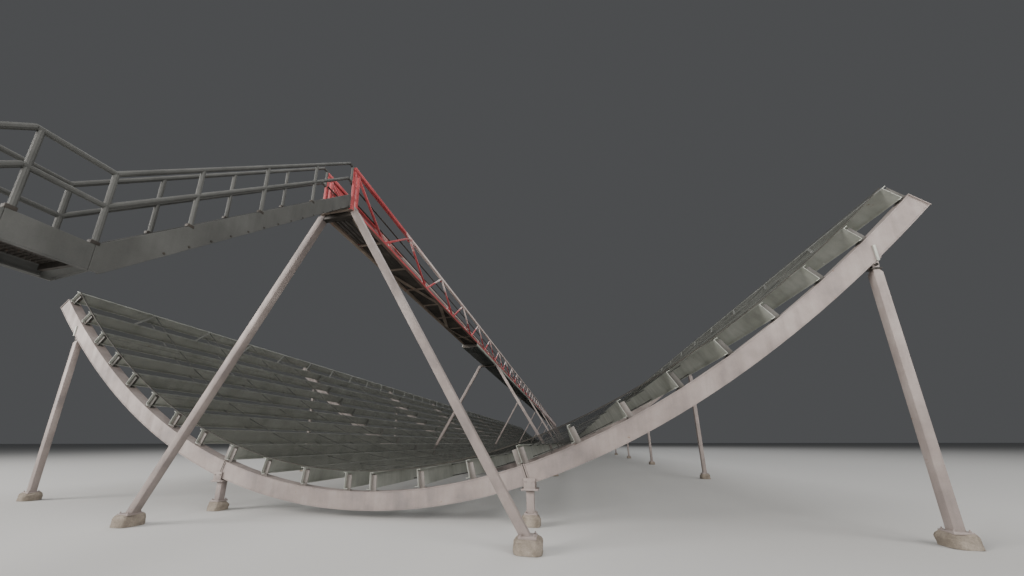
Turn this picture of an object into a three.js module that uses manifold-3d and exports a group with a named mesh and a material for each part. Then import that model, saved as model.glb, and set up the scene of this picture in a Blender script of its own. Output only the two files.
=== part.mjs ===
// A trough radio telescope as a 1:10 scale model: a fixed parabolic cylinder of wire mesh on
// curved ribs, with a walkway truss along its focal line and a stair up to one end of it.
// Millimetres, +Z up, X across the trough, Y along it. One metre of the real one is 100 mm here.
import * as THREE from "three";
import { mergeVertices } from "three/addons/utils/BufferGeometryUtils.js";
import Module from "manifold-3d";

const wasm = await Module();
wasm.setup();

// Driving dimensions
const GAP = 0.3;
const MIDDLE_Y = 4652.5;

const VERTEX_Z = 91;
const FOCAL_LENGTH = 500;
const MESH_DEPTH = 4;
const RIM_ARC = 1150;
const FIRST_LINE_ARC = 28;
const LINE_PITCH_ARC = 101.8;
const LINES_A_SIDE = 12;
const LINES_A_ROW = 3;
const SEAM_LINES = [2, 5, 8];
const LEG_HOLE_ROW = 1;
const MESH_START_Y = -10;

const BAY = 1000;
const BAYS = 10;
const RIB_TOP_OFFSET = 42;
const RIB_BOTTOM_OFFSET = 77;
const RIB_WIDTH = 25;
const RIB_END_ARC = 1158;
const TALL_COLUMN_X = 965;
const TALL_COLUMN_SIZE = 14;
const SHORT_COLUMN_X = 352;
const SHORT_COLUMN_SIZE = 14;
const CAP_WIDTH_RATIO = 0.8;
const CAP_PROUD = 3;
const CAP_BELOW = 12;
const CAP_ABOVE = 8;

const PURLIN_WIDTH = 5;
const PURLIN_LIFT = 4;
const CLEAT_LENGTH = 10;
const BRIDGING_STEP = 2;
const BRIDGING_SIZE = 4;

const TRUSS_HALF_WIDTH = 36;
const TRUSS_SIDE_DEPTH = 6;
const TRUSS_BOTTOM_Z = 590;
const TRUSS_TOP_Z = 690;
const TRUSS_START_Y = -172;
const TRUSS_END_Y = 10172;
const TRUSS_PANELS = 41;
const TRUSS_CHORD = 8;
const TRUSS_DIAGONAL = 5;
const DECK_TOP_Z = 598;
const DECK_DEPTH = 4;
const FLOOR_BEAM_WIDTH = 5;
const HOUSING_START_Y = 810;
const HOUSING_DEPTH = 20;

const LEG_SIZE = 14;
const LEG_TOP_X = 29;
const LEG_TOP_Z = 602;
const LEG_FOOT_X = 365;
const LEG_ROWS_Y = [-160, 1200, 2820, 4440, 6060, 7680, 9300, 10160];
const CROSSHEAD_DEPTH = 8;
const CROSSHEAD_WIDTH = 12;

const FOOTING_HEIGHT = 20;
const TALL_FOOTING = 44;
const SHORT_FOOTING = 34;
const LEG_FOOTING = 40;

const STAIR_HALF_WIDTH = 32;
const STRINGER_THICKNESS = 6;
const STRINGER_DEPTH_Z = 32;
const STAIR_SLOPE = 0.95;
const STAIR_TOP_Z = 622;
const STAIR_HEAD_Y = -177;
const LANDING_NEAR_Y = -501;
const LANDING_FAR_Y = -553;
const TREAD_DEPTH = 22;
const TREAD_THICKNESS = 3;
const TREAD_RISE = 20;
const UPPER_TREADS = 14;
const LOWER_TREADS = 13;
const LANDING_DEPTH = 24;
const LANDING_FLOOR_DROP = 11;
const LANDING_FLOOR_DEPTH = 5;
const STAIR_FOOTING_MARGIN = 12;
const STAIR_FOOTING_SIDE = 6;
const RAIL_HEIGHT = 77;
const MID_RAIL_HEIGHT = 39;
const RAIL_SIZE = 4;
const RAIL_BEND_Y = STAIR_HEAD_Y - 8;
const RAIL_POSTS_Y = [-266, -353, -432, -501, -550, -628, -703, -778, -850];

// Colours, roughness and metalness of the real finishes
const FINISH = {
  mesh: { color: 0x4d5150, roughness: 0.6, metalness: 0.6 },
  steel: { color: 0x9c9896, roughness: 0.55, metalness: 0.5 },
  galvanised: { color: 0x8d8f8c, roughness: 0.5, metalness: 0.6 },
  red: { color: 0xa8423f, roughness: 0.6, metalness: 0.1 },
  deck: { color: 0x3a3733, roughness: 0.8, metalness: 0.3 },
  housing: { color: 0x5d605c, roughness: 0.6, metalness: 0.4 },
};

const root = new THREE.Group();

// Solids

function solid(geometry) {
  const plain = geometry.clone();
  plain.deleteAttribute("normal");
  plain.deleteAttribute("uv");
  const merged = mergeVertices(plain, 1e-4);
  return new wasm.Manifold(
    new wasm.Mesh({
      numProp: 3,
      vertProperties: new Float32Array(merged.attributes.position.array),
      triVerts: new Uint32Array(merged.index.array),
    }),
  );
}

function join(solids) {
  return solids.reduce((all, next) => all.add(next));
}

function geometryOf(made) {
  const mesh = made.getMesh();
  const geometry = new THREE.BufferGeometry();
  geometry.setAttribute("position", new THREE.BufferAttribute(mesh.vertProperties, 3));
  geometry.setIndex(new THREE.BufferAttribute(mesh.triVerts, 1));
  return geometry;
}

function addPiece(name, made, finish) {
  const geometry = geometryOf(made).translate(0, -MIDDLE_Y, 0);
  const mesh = new THREE.Mesh(geometry, new THREE.MeshStandardMaterial(finish));
  mesh.name = name;
  root.add(mesh);
}

function shapeOf(points) {
  return new THREE.Shape(points.map(([u, v]) => new THREE.Vector2(u, v)));
}

// An outline in X and Z, run along Y
function alongY(points, fromY, toY) {
  const geometry = new THREE.ExtrudeGeometry(shapeOf(points), {
    depth: toY - fromY,
    bevelEnabled: false,
  });
  const turn = new THREE.Matrix4().makeBasis(
    new THREE.Vector3(1, 0, 0),
    new THREE.Vector3(0, 0, 1),
    new THREE.Vector3(0, -1, 0),
  );
  return geometry.applyMatrix4(turn).translate(0, toY, 0);
}

// An outline in Y and Z, run along X
function alongX(points, fromX, toX) {
  const geometry = new THREE.ExtrudeGeometry(shapeOf(points), {
    depth: toX - fromX,
    bevelEnabled: false,
  });
  const turn = new THREE.Matrix4().makeBasis(
    new THREE.Vector3(0, 1, 0),
    new THREE.Vector3(0, 0, 1),
    new THREE.Vector3(1, 0, 0),
  );
  return geometry.applyMatrix4(turn).translate(fromX, 0, 0);
}

// A flat plate facing X, with openings cut through it
function openPlate(outline, fromX, toX, openings) {
  const cuts = openings.map((opening) => solid(alongX(opening, fromX - 1, toX + 1)));
  return solid(alongX(outline, fromX, toX)).subtract(join(cuts));
}

function box(lowX, highX, lowY, highY, lowZ, highZ) {
  const geometry = new THREE.BoxGeometry(highX - lowX, highY - lowY, highZ - lowZ);
  return geometry.translate((lowX + highX) / 2, (lowY + highY) / 2, (lowZ + highZ) / 2);
}

function rectangle(lowU, highU, lowV, highV) {
  return [
    [lowU, lowV],
    [highU, lowV],
    [highU, highV],
    [lowU, highV],
  ];
}

// The parabola of the trough

function arcAt(x) {
  const t = x / (2 * FOCAL_LENGTH);
  return FOCAL_LENGTH * (t * Math.sqrt(1 + t * t) + Math.asinh(t));
}

function xAtArc(arc) {
  let x = arc;
  for (let step = 0; step < 20; step++) {
    const slope = Math.sqrt(1 + (x / (2 * FOCAL_LENGTH)) ** 2);
    x -= (arcAt(x) - arc) / slope;
  }
  return x;
}

// The point at an arc length from the lowest line, moved down square to the surface
function onTrough(arc, offset) {
  const x = xAtArc(arc);
  const slope = x / (2 * FOCAL_LENGTH);
  const length = Math.hypot(1, slope);
  return [x + (offset * slope) / length, VERTEX_Z + (x * slope) / 2 - offset / length];
}

function lineArc(index) {
  return FIRST_LINE_ARC + index * LINE_PITCH_ARC;
}

// A band between two offsets through the given arcs, as an outline in X and Z
function bandOutline(arcs, topOffset, bottomOffset) {
  const bottom = arcs.map((arc) => onTrough(arc, bottomOffset));
  const top = arcs.map((arc) => onTrough(arc, topOffset)).reverse();
  return bottom.concat(top);
}

// Reflector mesh: four rows of panels each side, their seams over purlins

function meshRows() {
  const seams = [0, ...SEAM_LINES.map(lineArc), RIM_ARC];
  for (const side of [-1, 1]) {
    for (let row = 0; row <= SEAM_LINES.length; row++) {
      const from = seams[row] + GAP / 2;
      const to = seams[row + 1] - (row < SEAM_LINES.length ? GAP / 2 : 0);
      const inner = [];
      for (let line = 0; line < LINES_A_SIDE; line++) {
        if (lineArc(line) > from + 1 && lineArc(line) < to - 1) inner.push(lineArc(line));
      }
      const arcs = [from, ...inner, to].map((arc) => side * arc);
      if (side < 0) arcs.reverse();
      const outline = bandOutline(arcs, 0, MESH_DEPTH);
      const end = BAY * BAYS - MESH_START_Y;
      let made = solid(alongY(outline, MESH_START_Y, end));
      if (row === LEG_HOLE_ROW) {
        for (const y of LEG_ROWS_Y.slice(1, -1)) made = made.subtract(legHole(side, y));
      }
      addPiece(`mesh_row_${side < 0 ? "left" : "right"}_${row + 1}`, made, FINISH.mesh);
    }
  }
}

// Purlins: each line is a plain plate square to the mesh, on a cleat over every rib

function purlinLine(side, index) {
  const top = MESH_DEPTH + GAP;
  const bottom = RIB_TOP_OFFSET - GAP - 0.1;
  const depth = bottom - top;
  const startY = -RIB_WIDTH / 2;
  const endY = BAY * BAYS + RIB_WIDTH / 2;
  const gaps = [];
  for (let bay = 0; bay < BAYS; bay++) {
    const first = bay === 0 ? startY + CLEAT_LENGTH : bay * BAY + CLEAT_LENGTH / 2;
    const last = bay === BAYS - 1 ? endY - CLEAT_LENGTH : (bay + 1) * BAY - CLEAT_LENGTH / 2;
    gaps.push(rectangle(first, last, -1, PURLIN_LIFT));
  }
  const arc = side * lineArc(index);
  const [x, z] = onTrough(arc, bottom);
  const lean = Math.atan(xAtArc(arc) / (2 * FOCAL_LENGTH));
  const outline = rectangle(startY, endY, 0, depth);
  const plate = openPlate(outline, -PURLIN_WIDTH / 2, PURLIN_WIDTH / 2, gaps);
  return solid(geometryOf(plate).rotateY(-lean).translate(x, 0, z));
}

function bridging(side, lines, y) {
  const offset = RIB_TOP_OFFSET - PURLIN_LIFT - BRIDGING_SIZE;
  const arcs = lines.map((line) => side * lineArc(line));
  if (side < 0) arcs.reverse();
  const outline = bandOutline(arcs, offset - BRIDGING_SIZE / 2, offset + BRIDGING_SIZE / 2);
  return solid(alongY(outline, y - BRIDGING_SIZE / 2, y + BRIDGING_SIZE / 2));
}

function purlinRows() {
  for (const side of [-1, 1]) {
    for (let row = 0; row < LINES_A_SIDE / LINES_A_ROW; row++) {
      const lines = [0, 1, 2].map((step) => row * LINES_A_ROW + step);
      const pieces = lines.map((line) => purlinLine(side, line));
      for (let bay = 0; bay < BAYS; bay += BRIDGING_STEP) {
        pieces.push(bridging(side, lines, (bay + 0.5) * BAY));
      }
      addPiece(`purlin_row_${side < 0 ? "left" : "right"}_${row + 1}`, join(pieces), FINISH.galvanised);
    }
  }
}

// Rib frames: a curved box rib on four columns with their footings

function footing(x, y, size) {
  return solid(box(x - size / 2, x + size / 2, y - size / 2, y + size / 2, 0, FOOTING_HEIGHT));
}

// The height of the rib's lower face at a distance from the middle
function ribUnderside(x) {
  let onSurface = x;
  for (let step = 0; step < 20; step++) {
    const slope = onSurface / (2 * FOCAL_LENGTH);
    onSurface = x - (RIB_BOTTOM_OFFSET * slope) / Math.hypot(1, slope);
  }
  return onTrough(arcAt(onSurface), RIB_BOTTOM_OFFSET)[1];
}

function column(x, y, size) {
  const half = size / 2;
  const top = ribUnderside(x) + size;
  return solid(box(x - half, x + half, y - half, y + half, FOOTING_HEIGHT - 2, top));
}

function columnCap(x, y, size) {
  const under = ribUnderside(x);
  const half = size * CAP_WIDTH_RATIO;
  const depth = RIB_WIDTH / 2 + CAP_PROUD;
  const low = under - CAP_BELOW;
  const high = under + CAP_ABOVE;
  return solid(box(x - half, x + half, y - depth, y + depth, low, high));
}

function ribFrame(y) {
  const arcs = [];
  for (let line = LINES_A_SIDE - 1; line >= 0; line--) arcs.push(-lineArc(line));
  for (let line = 0; line < LINES_A_SIDE; line++) arcs.push(lineArc(line));
  const outline = bandOutline(
    [-RIB_END_ARC, ...arcs, RIB_END_ARC],
    RIB_TOP_OFFSET,
    RIB_BOTTOM_OFFSET,
  );
  const pieces = [solid(alongY(outline, y - RIB_WIDTH / 2, y + RIB_WIDTH / 2))];
  for (const side of [-1, 1]) {
    pieces.push(column(side * TALL_COLUMN_X, y, TALL_COLUMN_SIZE));
    pieces.push(footing(side * TALL_COLUMN_X, y, TALL_FOOTING));
    pieces.push(column(side * SHORT_COLUMN_X, y, SHORT_COLUMN_SIZE));
    pieces.push(columnCap(side * SHORT_COLUMN_X, y, SHORT_COLUMN_SIZE));
    pieces.push(footing(side * SHORT_COLUMN_X, y, SHORT_FOOTING));
  }
  return join(pieces);
}

function ribFrames() {
  for (let rib = 0; rib <= BAYS; rib++) {
    const number = String(rib + 1).padStart(2, "0");
    addPiece(`rib_frame_${number}`, ribFrame(rib * BAY), FINISH.steel);
  }
}

// Leg frames: two slanting legs and the crosshead that carries the truss

function legBar(side, y, size) {
  const bottomZ = FOOTING_HEIGHT - 4;
  const run = LEG_FOOT_X - LEG_TOP_X;
  const rise = LEG_TOP_Z - bottomZ;
  const half = (size / 2) * Math.hypot(1, run / rise);
  const outline = [
    [side * (LEG_FOOT_X - half), bottomZ],
    [side * (LEG_FOOT_X + half), bottomZ],
    [side * (LEG_TOP_X + half), LEG_TOP_Z],
    [side * (LEG_TOP_X - half), LEG_TOP_Z],
  ];
  if (side < 0) outline.reverse();
  return solid(alongY(outline, y - size / 2, y + size / 2));
}

function legHole(side, y) {
  return legBar(side, y, LEG_SIZE + 2 * GAP);
}

function legFrame(y) {
  const seat = y < HOUSING_START_Y ? TRUSS_BOTTOM_Z : TRUSS_BOTTOM_Z - HOUSING_DEPTH;
  const legs = [-1, 1].flatMap((side) => [
    legBar(side, y, LEG_SIZE),
    footing(side * LEG_FOOT_X, y, LEG_FOOTING),
  ]);
  const top = seat - GAP;
  const low = top - CROSSHEAD_DEPTH;
  const reach = LEG_TOP_X + ((LEG_TOP_Z - low) * (LEG_FOOT_X - LEG_TOP_X)) / LEG_TOP_Z;
  const crosshead = box(-reach, reach, y - CROSSHEAD_WIDTH / 2, y + CROSSHEAD_WIDTH / 2, low, top);
  const clear = TRUSS_HALF_WIDTH + GAP;
  const notch = box(-clear, clear, y - LEG_SIZE, y + LEG_SIZE, top, TRUSS_TOP_Z);
  return join([...legs, solid(crosshead)]).subtract(solid(notch));
}

function legFrames() {
  LEG_ROWS_Y.forEach((y, index) => addPiece(`leg_frame_${index + 1}`, legFrame(y), FINISH.steel));
}

// Walkway truss: two Warren sides, a deck on floor beams and the feed housing below

function insetTriangle(corners, insets) {
  const lines = corners.map(([ax, ay], i) => {
    const [bx, by] = corners[(i + 1) % 3];
    const length = Math.hypot(bx - ax, by - ay);
    const normal = [-(by - ay) / length, (bx - ax) / length];
    return { normal, reach: normal[0] * ax + normal[1] * ay + insets[i] };
  });
  return lines.map((line, i) => {
    const before = lines[(i + 2) % 3];
    const [a, b] = before.normal;
    const [c, d] = line.normal;
    const det = a * d - b * c;
    return [(before.reach * d - b * line.reach) / det, (a * line.reach - before.reach * c) / det];
  });
}

function trussSide(side) {
  const pitch = (TRUSS_END_Y - TRUSS_START_Y - TRUSS_CHORD) / TRUSS_PANELS;
  const start = TRUSS_START_Y + TRUSS_CHORD / 2;
  const low = TRUSS_BOTTOM_Z + TRUSS_CHORD / 2;
  const high = TRUSS_TOP_Z - TRUSS_CHORD / 2;
  const chord = TRUSS_CHORD / 2;
  const bar = TRUSS_DIAGONAL / 2;
  const holes = [];
  for (let panel = 0; panel < TRUSS_PANELS; panel++) {
    const from = start + panel * pitch;
    const foot = from + pitch / 2;
    const hanging = [[foot, low], [from + pitch, high], [from, high]];
    holes.push(insetTriangle(hanging, [bar, chord, bar]));
    if (panel === 0) {
      holes.push(insetTriangle([[from, low], [foot, low], [from, high]], [chord, bar, chord]));
    } else {
      const standing = [[foot - pitch, low], [foot, low], [from, high]];
      holes.push(insetTriangle(standing, [chord, bar, bar]));
    }
    if (panel === TRUSS_PANELS - 1) {
      const last = [[foot, low], [from + pitch, low], [from + pitch, high]];
      holes.push(insetTriangle(last, [chord, chord, bar]));
    }
  }
  const outer = side * TRUSS_HALF_WIDTH;
  const inner = side * (TRUSS_HALF_WIDTH - TRUSS_SIDE_DEPTH);
  const outline = rectangle(TRUSS_START_Y, TRUSS_END_Y, TRUSS_BOTTOM_Z, TRUSS_TOP_Z);
  return openPlate(outline, Math.min(inner, outer), Math.max(inner, outer), holes);
}

function deck() {
  const half = TRUSS_HALF_WIDTH - TRUSS_SIDE_DEPTH - GAP;
  const under = DECK_TOP_Z - DECK_DEPTH;
  const beamLow = TRUSS_BOTTOM_Z + GAP;
  const top = [
    [TRUSS_END_Y, under],
    [TRUSS_END_Y, DECK_TOP_Z],
    [TRUSS_START_Y, DECK_TOP_Z],
    [TRUSS_START_Y, under],
  ];
  const beams = [];
  const pitch = (TRUSS_END_Y - TRUSS_START_Y) / TRUSS_PANELS;
  for (let panel = 0; panel < TRUSS_PANELS; panel++) {
    const y = TRUSS_START_Y + (panel + 0.5) * pitch;
    beams.push([y - FLOOR_BEAM_WIDTH / 2, under]);
    beams.push([y - FLOOR_BEAM_WIDTH / 2, beamLow]);
    beams.push([y + FLOOR_BEAM_WIDTH / 2, beamLow]);
    beams.push([y + FLOOR_BEAM_WIDTH / 2, under]);
  }
  return solid(alongX([...beams, ...top], -half, half));
}

function walkway() {
  addPiece("truss_side_left", trussSide(-1), FINISH.red);
  addPiece("truss_side_right", trussSide(1), FINISH.red);
  addPiece("walkway_deck", deck(), FINISH.deck);
  const housing = box(
    -TRUSS_HALF_WIDTH,
    TRUSS_HALF_WIDTH,
    HOUSING_START_Y,
    TRUSS_END_Y,
    TRUSS_BOTTOM_Z - HOUSING_DEPTH,
    TRUSS_BOTTOM_Z - GAP,
  );
  addPiece("feed_housing", solid(housing), FINISH.housing);
}

// Access stair: two flights in line with the walkway, with a level landing between them

function stairTopZ(y) {
  if (y >= STAIR_HEAD_Y) return STAIR_TOP_Z;
  const landingZ = STAIR_TOP_Z - (STAIR_HEAD_Y - LANDING_NEAR_Y) * STAIR_SLOPE;
  if (y >= LANDING_NEAR_Y) return STAIR_TOP_Z - (STAIR_HEAD_Y - y) * STAIR_SLOPE;
  if (y >= LANDING_FAR_Y) return landingZ;
  return landingZ - (LANDING_FAR_Y - y) * STAIR_SLOPE;
}

function landingTopZ() {
  return stairTopZ(LANDING_NEAR_Y);
}

// Two stringers of one outline in Y and Z, with treads let into them
function flight(outline, firstTreadY, firstTreadZ, treads) {
  const inside = STAIR_HALF_WIDTH - STRINGER_THICKNESS;
  const pieces = [
    solid(alongX(outline, inside, STAIR_HALF_WIDTH)),
    solid(alongX(outline, -STAIR_HALF_WIDTH, -inside)),
  ];
  for (let step = 0; step < treads; step++) {
    const y = firstTreadY - (step * TREAD_RISE) / STAIR_SLOPE;
    const z = firstTreadZ - step * TREAD_RISE;
    pieces.push(
      solid(box(-inside - 1, inside + 1, y - TREAD_DEPTH, y, z - TREAD_THICKNESS, z)),
    );
  }
  return join(pieces);
}

function upperFlight() {
  const end = LANDING_NEAR_Y + GAP;
  const start = TRUSS_START_Y - GAP;
  const bendY = start - 4;
  const outline = [
    [start, stairTopZ(start)],
    [STAIR_HEAD_Y, STAIR_TOP_Z],
    [end, stairTopZ(end)],
    [end, landingTopZ() - LANDING_DEPTH],
    [end + 8, landingTopZ() - LANDING_DEPTH],
    [bendY, STAIR_TOP_Z - STRINGER_DEPTH_Z + 4],
    [start, STAIR_TOP_Z - STRINGER_DEPTH_Z + 4],
  ];
  return flight(outline, start - 1, DECK_TOP_Z - 5, UPPER_TREADS);
}

function lowerFlight() {
  const start = LANDING_FAR_Y - GAP;
  const bottomY = start - (landingTopZ() - FOOTING_HEIGHT) / STAIR_SLOPE;
  const underY = start + 8;
  const footY = underY - (landingTopZ() - LANDING_DEPTH - FOOTING_HEIGHT) / STAIR_SLOPE;
  const outline = [
    [start, stairTopZ(start)],
    [bottomY, FOOTING_HEIGHT - 2],
    [footY, FOOTING_HEIGHT - 2],
    [start, landingTopZ() - LANDING_DEPTH - 8 * STAIR_SLOPE],
  ];
  const foot = box(
    -STAIR_HALF_WIDTH - STAIR_FOOTING_SIDE,
    STAIR_HALF_WIDTH + STAIR_FOOTING_SIDE,
    bottomY - STAIR_FOOTING_MARGIN,
    footY + STAIR_FOOTING_MARGIN,
    0,
    FOOTING_HEIGHT,
  );
  return join([flight(outline, start - 4, landingTopZ() - 30, LOWER_TREADS), solid(foot)]);
}

function landing() {
  const inside = STAIR_HALF_WIDTH - STRINGER_THICKNESS;
  const low = landingTopZ() - LANDING_DEPTH;
  const high = landingTopZ();
  const floor = high - LANDING_FLOOR_DROP;
  const under = floor - LANDING_FLOOR_DEPTH;
  const sides = rectangle(LANDING_FAR_Y, LANDING_NEAR_Y, low, high);
  return join([
    solid(alongX(sides, inside, STAIR_HALF_WIDTH)),
    solid(alongX(sides, -STAIR_HALF_WIDTH, -inside)),
    solid(box(-inside - 1, inside + 1, LANDING_FAR_Y, LANDING_NEAR_Y, under, floor)),
  ]);
}

// A handrail is a flat frame of posts with a top rail and a middle rail
function handrail(side) {
  const half = RAIL_SIZE / 2;
  const startY = TRUSS_START_Y - GAP;
  const lastY = RAIL_POSTS_Y[RAIL_POSTS_Y.length - 1] - half;
  const bends = [startY, RAIL_BEND_Y, LANDING_NEAR_Y, LANDING_FAR_Y, lastY];
  const height = (y, above) =>
    y > RAIL_BEND_Y ? stairTopZ(RAIL_BEND_Y) + above : stairTopZ(y) + above;
  const top = bends.map((y) => [y, height(y, RAIL_HEIGHT + half)]);
  const lowest = FOOTING_HEIGHT + GAP;
  const under = [];
  for (const y of [...RAIL_POSTS_Y].reverse()) {
    if (y - half > lastY) under.push([y - half, height(y - half, MID_RAIL_HEIGHT - half)]);
    under.push([y - half, Math.max(height(y - half, GAP), lowest)]);
    under.push([y + half, Math.max(height(y + half, GAP), lowest)]);
    under.push([y + half, height(y + half, MID_RAIL_HEIGHT - half)]);
  }
  under.push([RAIL_BEND_Y, height(RAIL_BEND_Y, MID_RAIL_HEIGHT - half)]);
  under.push([startY, height(startY, MID_RAIL_HEIGHT - half)]);
  const posts = [startY + half - RAIL_SIZE, ...RAIL_POSTS_Y];
  const holes = [];
  for (let post = 1; post < posts.length; post++) {
    const far = posts[post] + half;
    const near = posts[post - 1] - half;
    const bent = near > RAIL_BEND_Y && far < RAIL_BEND_Y;
    const stops = bent ? [near, RAIL_BEND_Y, far] : [near, far];
    const low = stops.map((y) => [y, height(y, MID_RAIL_HEIGHT + half)]);
    const high = stops.map((y) => [y, height(y, RAIL_HEIGHT - half)]).reverse();
    holes.push(low.concat(high));
  }
  const inner = STAIR_HALF_WIDTH - GAP - RAIL_SIZE;
  const outer = inner + RAIL_SIZE;
  const fromX = side > 0 ? inner : -outer;
  return openPlate([...top, ...under], fromX, fromX + RAIL_SIZE, holes);
}

function stair() {
  addPiece("stair_upper_flight", upperFlight(), FINISH.galvanised);
  addPiece("stair_landing", landing(), FINISH.galvanised);
  addPiece("stair_lower_flight", lowerFlight(), FINISH.galvanised);
  addPiece("handrail_left", handrail(-1), FINISH.galvanised);
  addPiece("handrail_right", handrail(1), FINISH.galvanised);
}

meshRows();
purlinRows();
ribFrames();
legFrames();
walkway();
stair();

export default root;
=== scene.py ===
# Looks of the trough radio telescope model: wire mesh on folded purlins, curved ribs on columns,
# slanted legs, a walkway truss along the focal line in painted red lamp light, and the stair at
# its near end.
# Metres, in the frame of the imported part: one metre of the real one is 0.1 here.
import math

import bmesh
import bpy
from mathutils import Matrix, Vector, noise


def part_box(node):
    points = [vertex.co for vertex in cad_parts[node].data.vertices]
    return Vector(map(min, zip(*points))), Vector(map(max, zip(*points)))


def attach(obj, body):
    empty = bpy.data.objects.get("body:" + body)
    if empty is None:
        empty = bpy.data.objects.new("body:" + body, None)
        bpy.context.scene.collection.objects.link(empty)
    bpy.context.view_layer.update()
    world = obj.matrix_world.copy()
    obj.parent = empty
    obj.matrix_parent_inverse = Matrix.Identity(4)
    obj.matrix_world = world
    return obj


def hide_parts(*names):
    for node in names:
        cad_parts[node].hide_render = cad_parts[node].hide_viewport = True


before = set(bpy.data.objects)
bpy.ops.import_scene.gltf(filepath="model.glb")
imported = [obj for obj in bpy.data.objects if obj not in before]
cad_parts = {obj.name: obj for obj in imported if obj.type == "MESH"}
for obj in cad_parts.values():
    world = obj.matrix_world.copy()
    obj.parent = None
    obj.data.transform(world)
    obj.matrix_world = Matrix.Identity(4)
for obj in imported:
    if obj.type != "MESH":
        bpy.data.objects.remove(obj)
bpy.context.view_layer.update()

# The noise that shapes the cast footings is the same at every run
noise.seed_set(7)

# Driving dimensions, the same as the solids'. An arc is a distance along the curve from its
# middle, and an offset is a distance below the mesh.
FOCAL_LENGTH = 0.5
VERTEX_Z = 0.091
RIM_ARC = 1.150
FIRST_LINE_ARC = 0.028
LINE_PITCH_ARC = 0.1018
LINES_A_SIDE = 12
LINES_A_ROW = 3
SEAM_LINES = (2, 5, 8)
BAYS = 10
RIB_TOP_OFFSET = 0.042
RIB_BOTTOM_OFFSET = 0.077
RIB_WIDTH = 0.025
RIB_END_ARC = 1.158
PURLIN_TOP_OFFSET = 0.0050
PURLIN_BOTTOM_OFFSET = 0.0375
TALL_COLUMN_X = 0.965
TALL_COLUMN_SIZE = 0.014
SHORT_COLUMN_X = 0.352
SHORT_COLUMN_SIZE = 0.014
FOOTING_HEIGHT = 0.020
LEG_SIZE = 0.014
LEG_FOOT_X, LEG_FOOT_Z = 0.365, 0.016
LEG_TOP_X, LEG_TOP_Z = 0.029, 0.602
LEG_FRAMES = 8


def middle_y(node):
    """The middle of a node along the trough."""
    low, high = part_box(node)
    return (low.y + high.y) / 2


# Places read from the frame
NEAR_RIB_Y = middle_y("rib_frame_01")
FAR_RIB_Y = middle_y("rib_frame_11")
BAY = (FAR_RIB_Y - NEAR_RIB_Y) / BAYS
MESH_START_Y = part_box("mesh_row_left_1")[0].y
MESH_END_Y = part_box("mesh_row_left_1")[1].y
TRUSS_LOW, TRUSS_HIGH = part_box("truss_side_right")
HOUSING_LOW, HOUSING_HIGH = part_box("feed_housing")
LEG_ROWS_Y = [middle_y(f"leg_frame_{number}") for number in range(1, LEG_FRAMES + 1)]

X = Vector((1, 0, 0))
Y = Vector((0, 1, 0))
Z = Vector((0, 0, 1))
SIDES = ((-1, "left"), (1, "right"))
SHARP_ANGLE = math.radians(35)
SOLVER_ROUNDS = 20


# Shapes

def basis(x, y, z, place):
    """A matrix whose axes are x, y and z, at a place."""
    return Matrix((
        (x.x, y.x, z.x, place.x),
        (x.y, y.y, z.y, place.y),
        (x.z, y.z, z.z, place.z),
        (0, 0, 0, 1),
    ))


def along(start, end, across):
    """A bar's place and its length: z runs from start to end, x as near across as can be."""
    start, end = Vector(start), Vector(end)
    z = (end - start).normalized()
    x = (across - z * across.dot(z)).normalized()
    return basis(x, z.cross(x), z, (start + end) / 2), (end - start).length


def bevel(bm, edges, size, segments):
    bmesh.ops.bevel(
        bm, geom=list(edges), offset=size, segments=segments, profile=0.5,
        affect="EDGES", material=-1, clamp_overlap=True,
    )


def round_edges(bm, verts, size, segments=2):
    """Rounds every edge that ends at one of the vertices."""
    bevel(bm, dict.fromkeys(edge for vert in verts for edge in vert.link_edges), size, segments)


def slab(bm, place, size, edge=0.0, segments=2):
    """A box of a size, turned as its place is. A given edge is the rounding of its edges."""
    made = bmesh.ops.create_cube(bm, size=1, matrix=place @ Matrix.Diagonal((*size, 1)))
    if edge:
        round_edges(bm, made["verts"], edge, segments)


def bar(bm, start, end, width, depth, across=X, edge=0.0):
    """A straight rectangular bar, width across and depth the other way."""
    place, length = along(start, end, across)
    slab(bm, place, (width, depth, length), edge)


def block(bm, low, high, edge=0.0):
    """An upright box between two corners."""
    low, high = Vector(low), Vector(high)
    slab(bm, Matrix.Translation((low + high) / 2), high - low, edge)


def post(bm, middle, half, low, high, edge=0.0):
    """An upright box from low to high, about a middle (x, y), by its half width and depth."""
    (x, y), (half_x, half_y) = middle, half
    block(bm, (x - half_x, y - half_y, low), (x + half_x, y + half_y, high), edge)


def pipe(bm, start, end, radius, segments=10):
    """A straight round bar with closed ends."""
    heading = (Vector(end) - Vector(start)).normalized()
    place, length = along(start, end, X if abs(heading.x) < 0.9 else Y)
    bmesh.ops.create_cone(
        bm, cap_ends=True, segments=segments, radius1=radius, radius2=radius,
        depth=length, matrix=place,
    )


def ball(bm, place, radius, segments=10):
    bmesh.ops.create_uvsphere(
        bm, u_segments=segments, v_segments=6, radius=radius, matrix=Matrix.Translation(place),
    )


def pipe_run(bm, points, radius):
    """Pipes through the points, with a ball at each bend."""
    for start, end in zip(points, points[1:]):
        pipe(bm, start, end, radius)
    for point in points[1:-1]:
        ball(bm, point, radius)


def bolt(bm, place, axis, radius=0.0016, height=0.0014):
    """A hexagon head standing on a face."""
    pipe(bm, Vector(place), Vector(place) + Vector(axis) * height, radius, 6)


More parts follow.
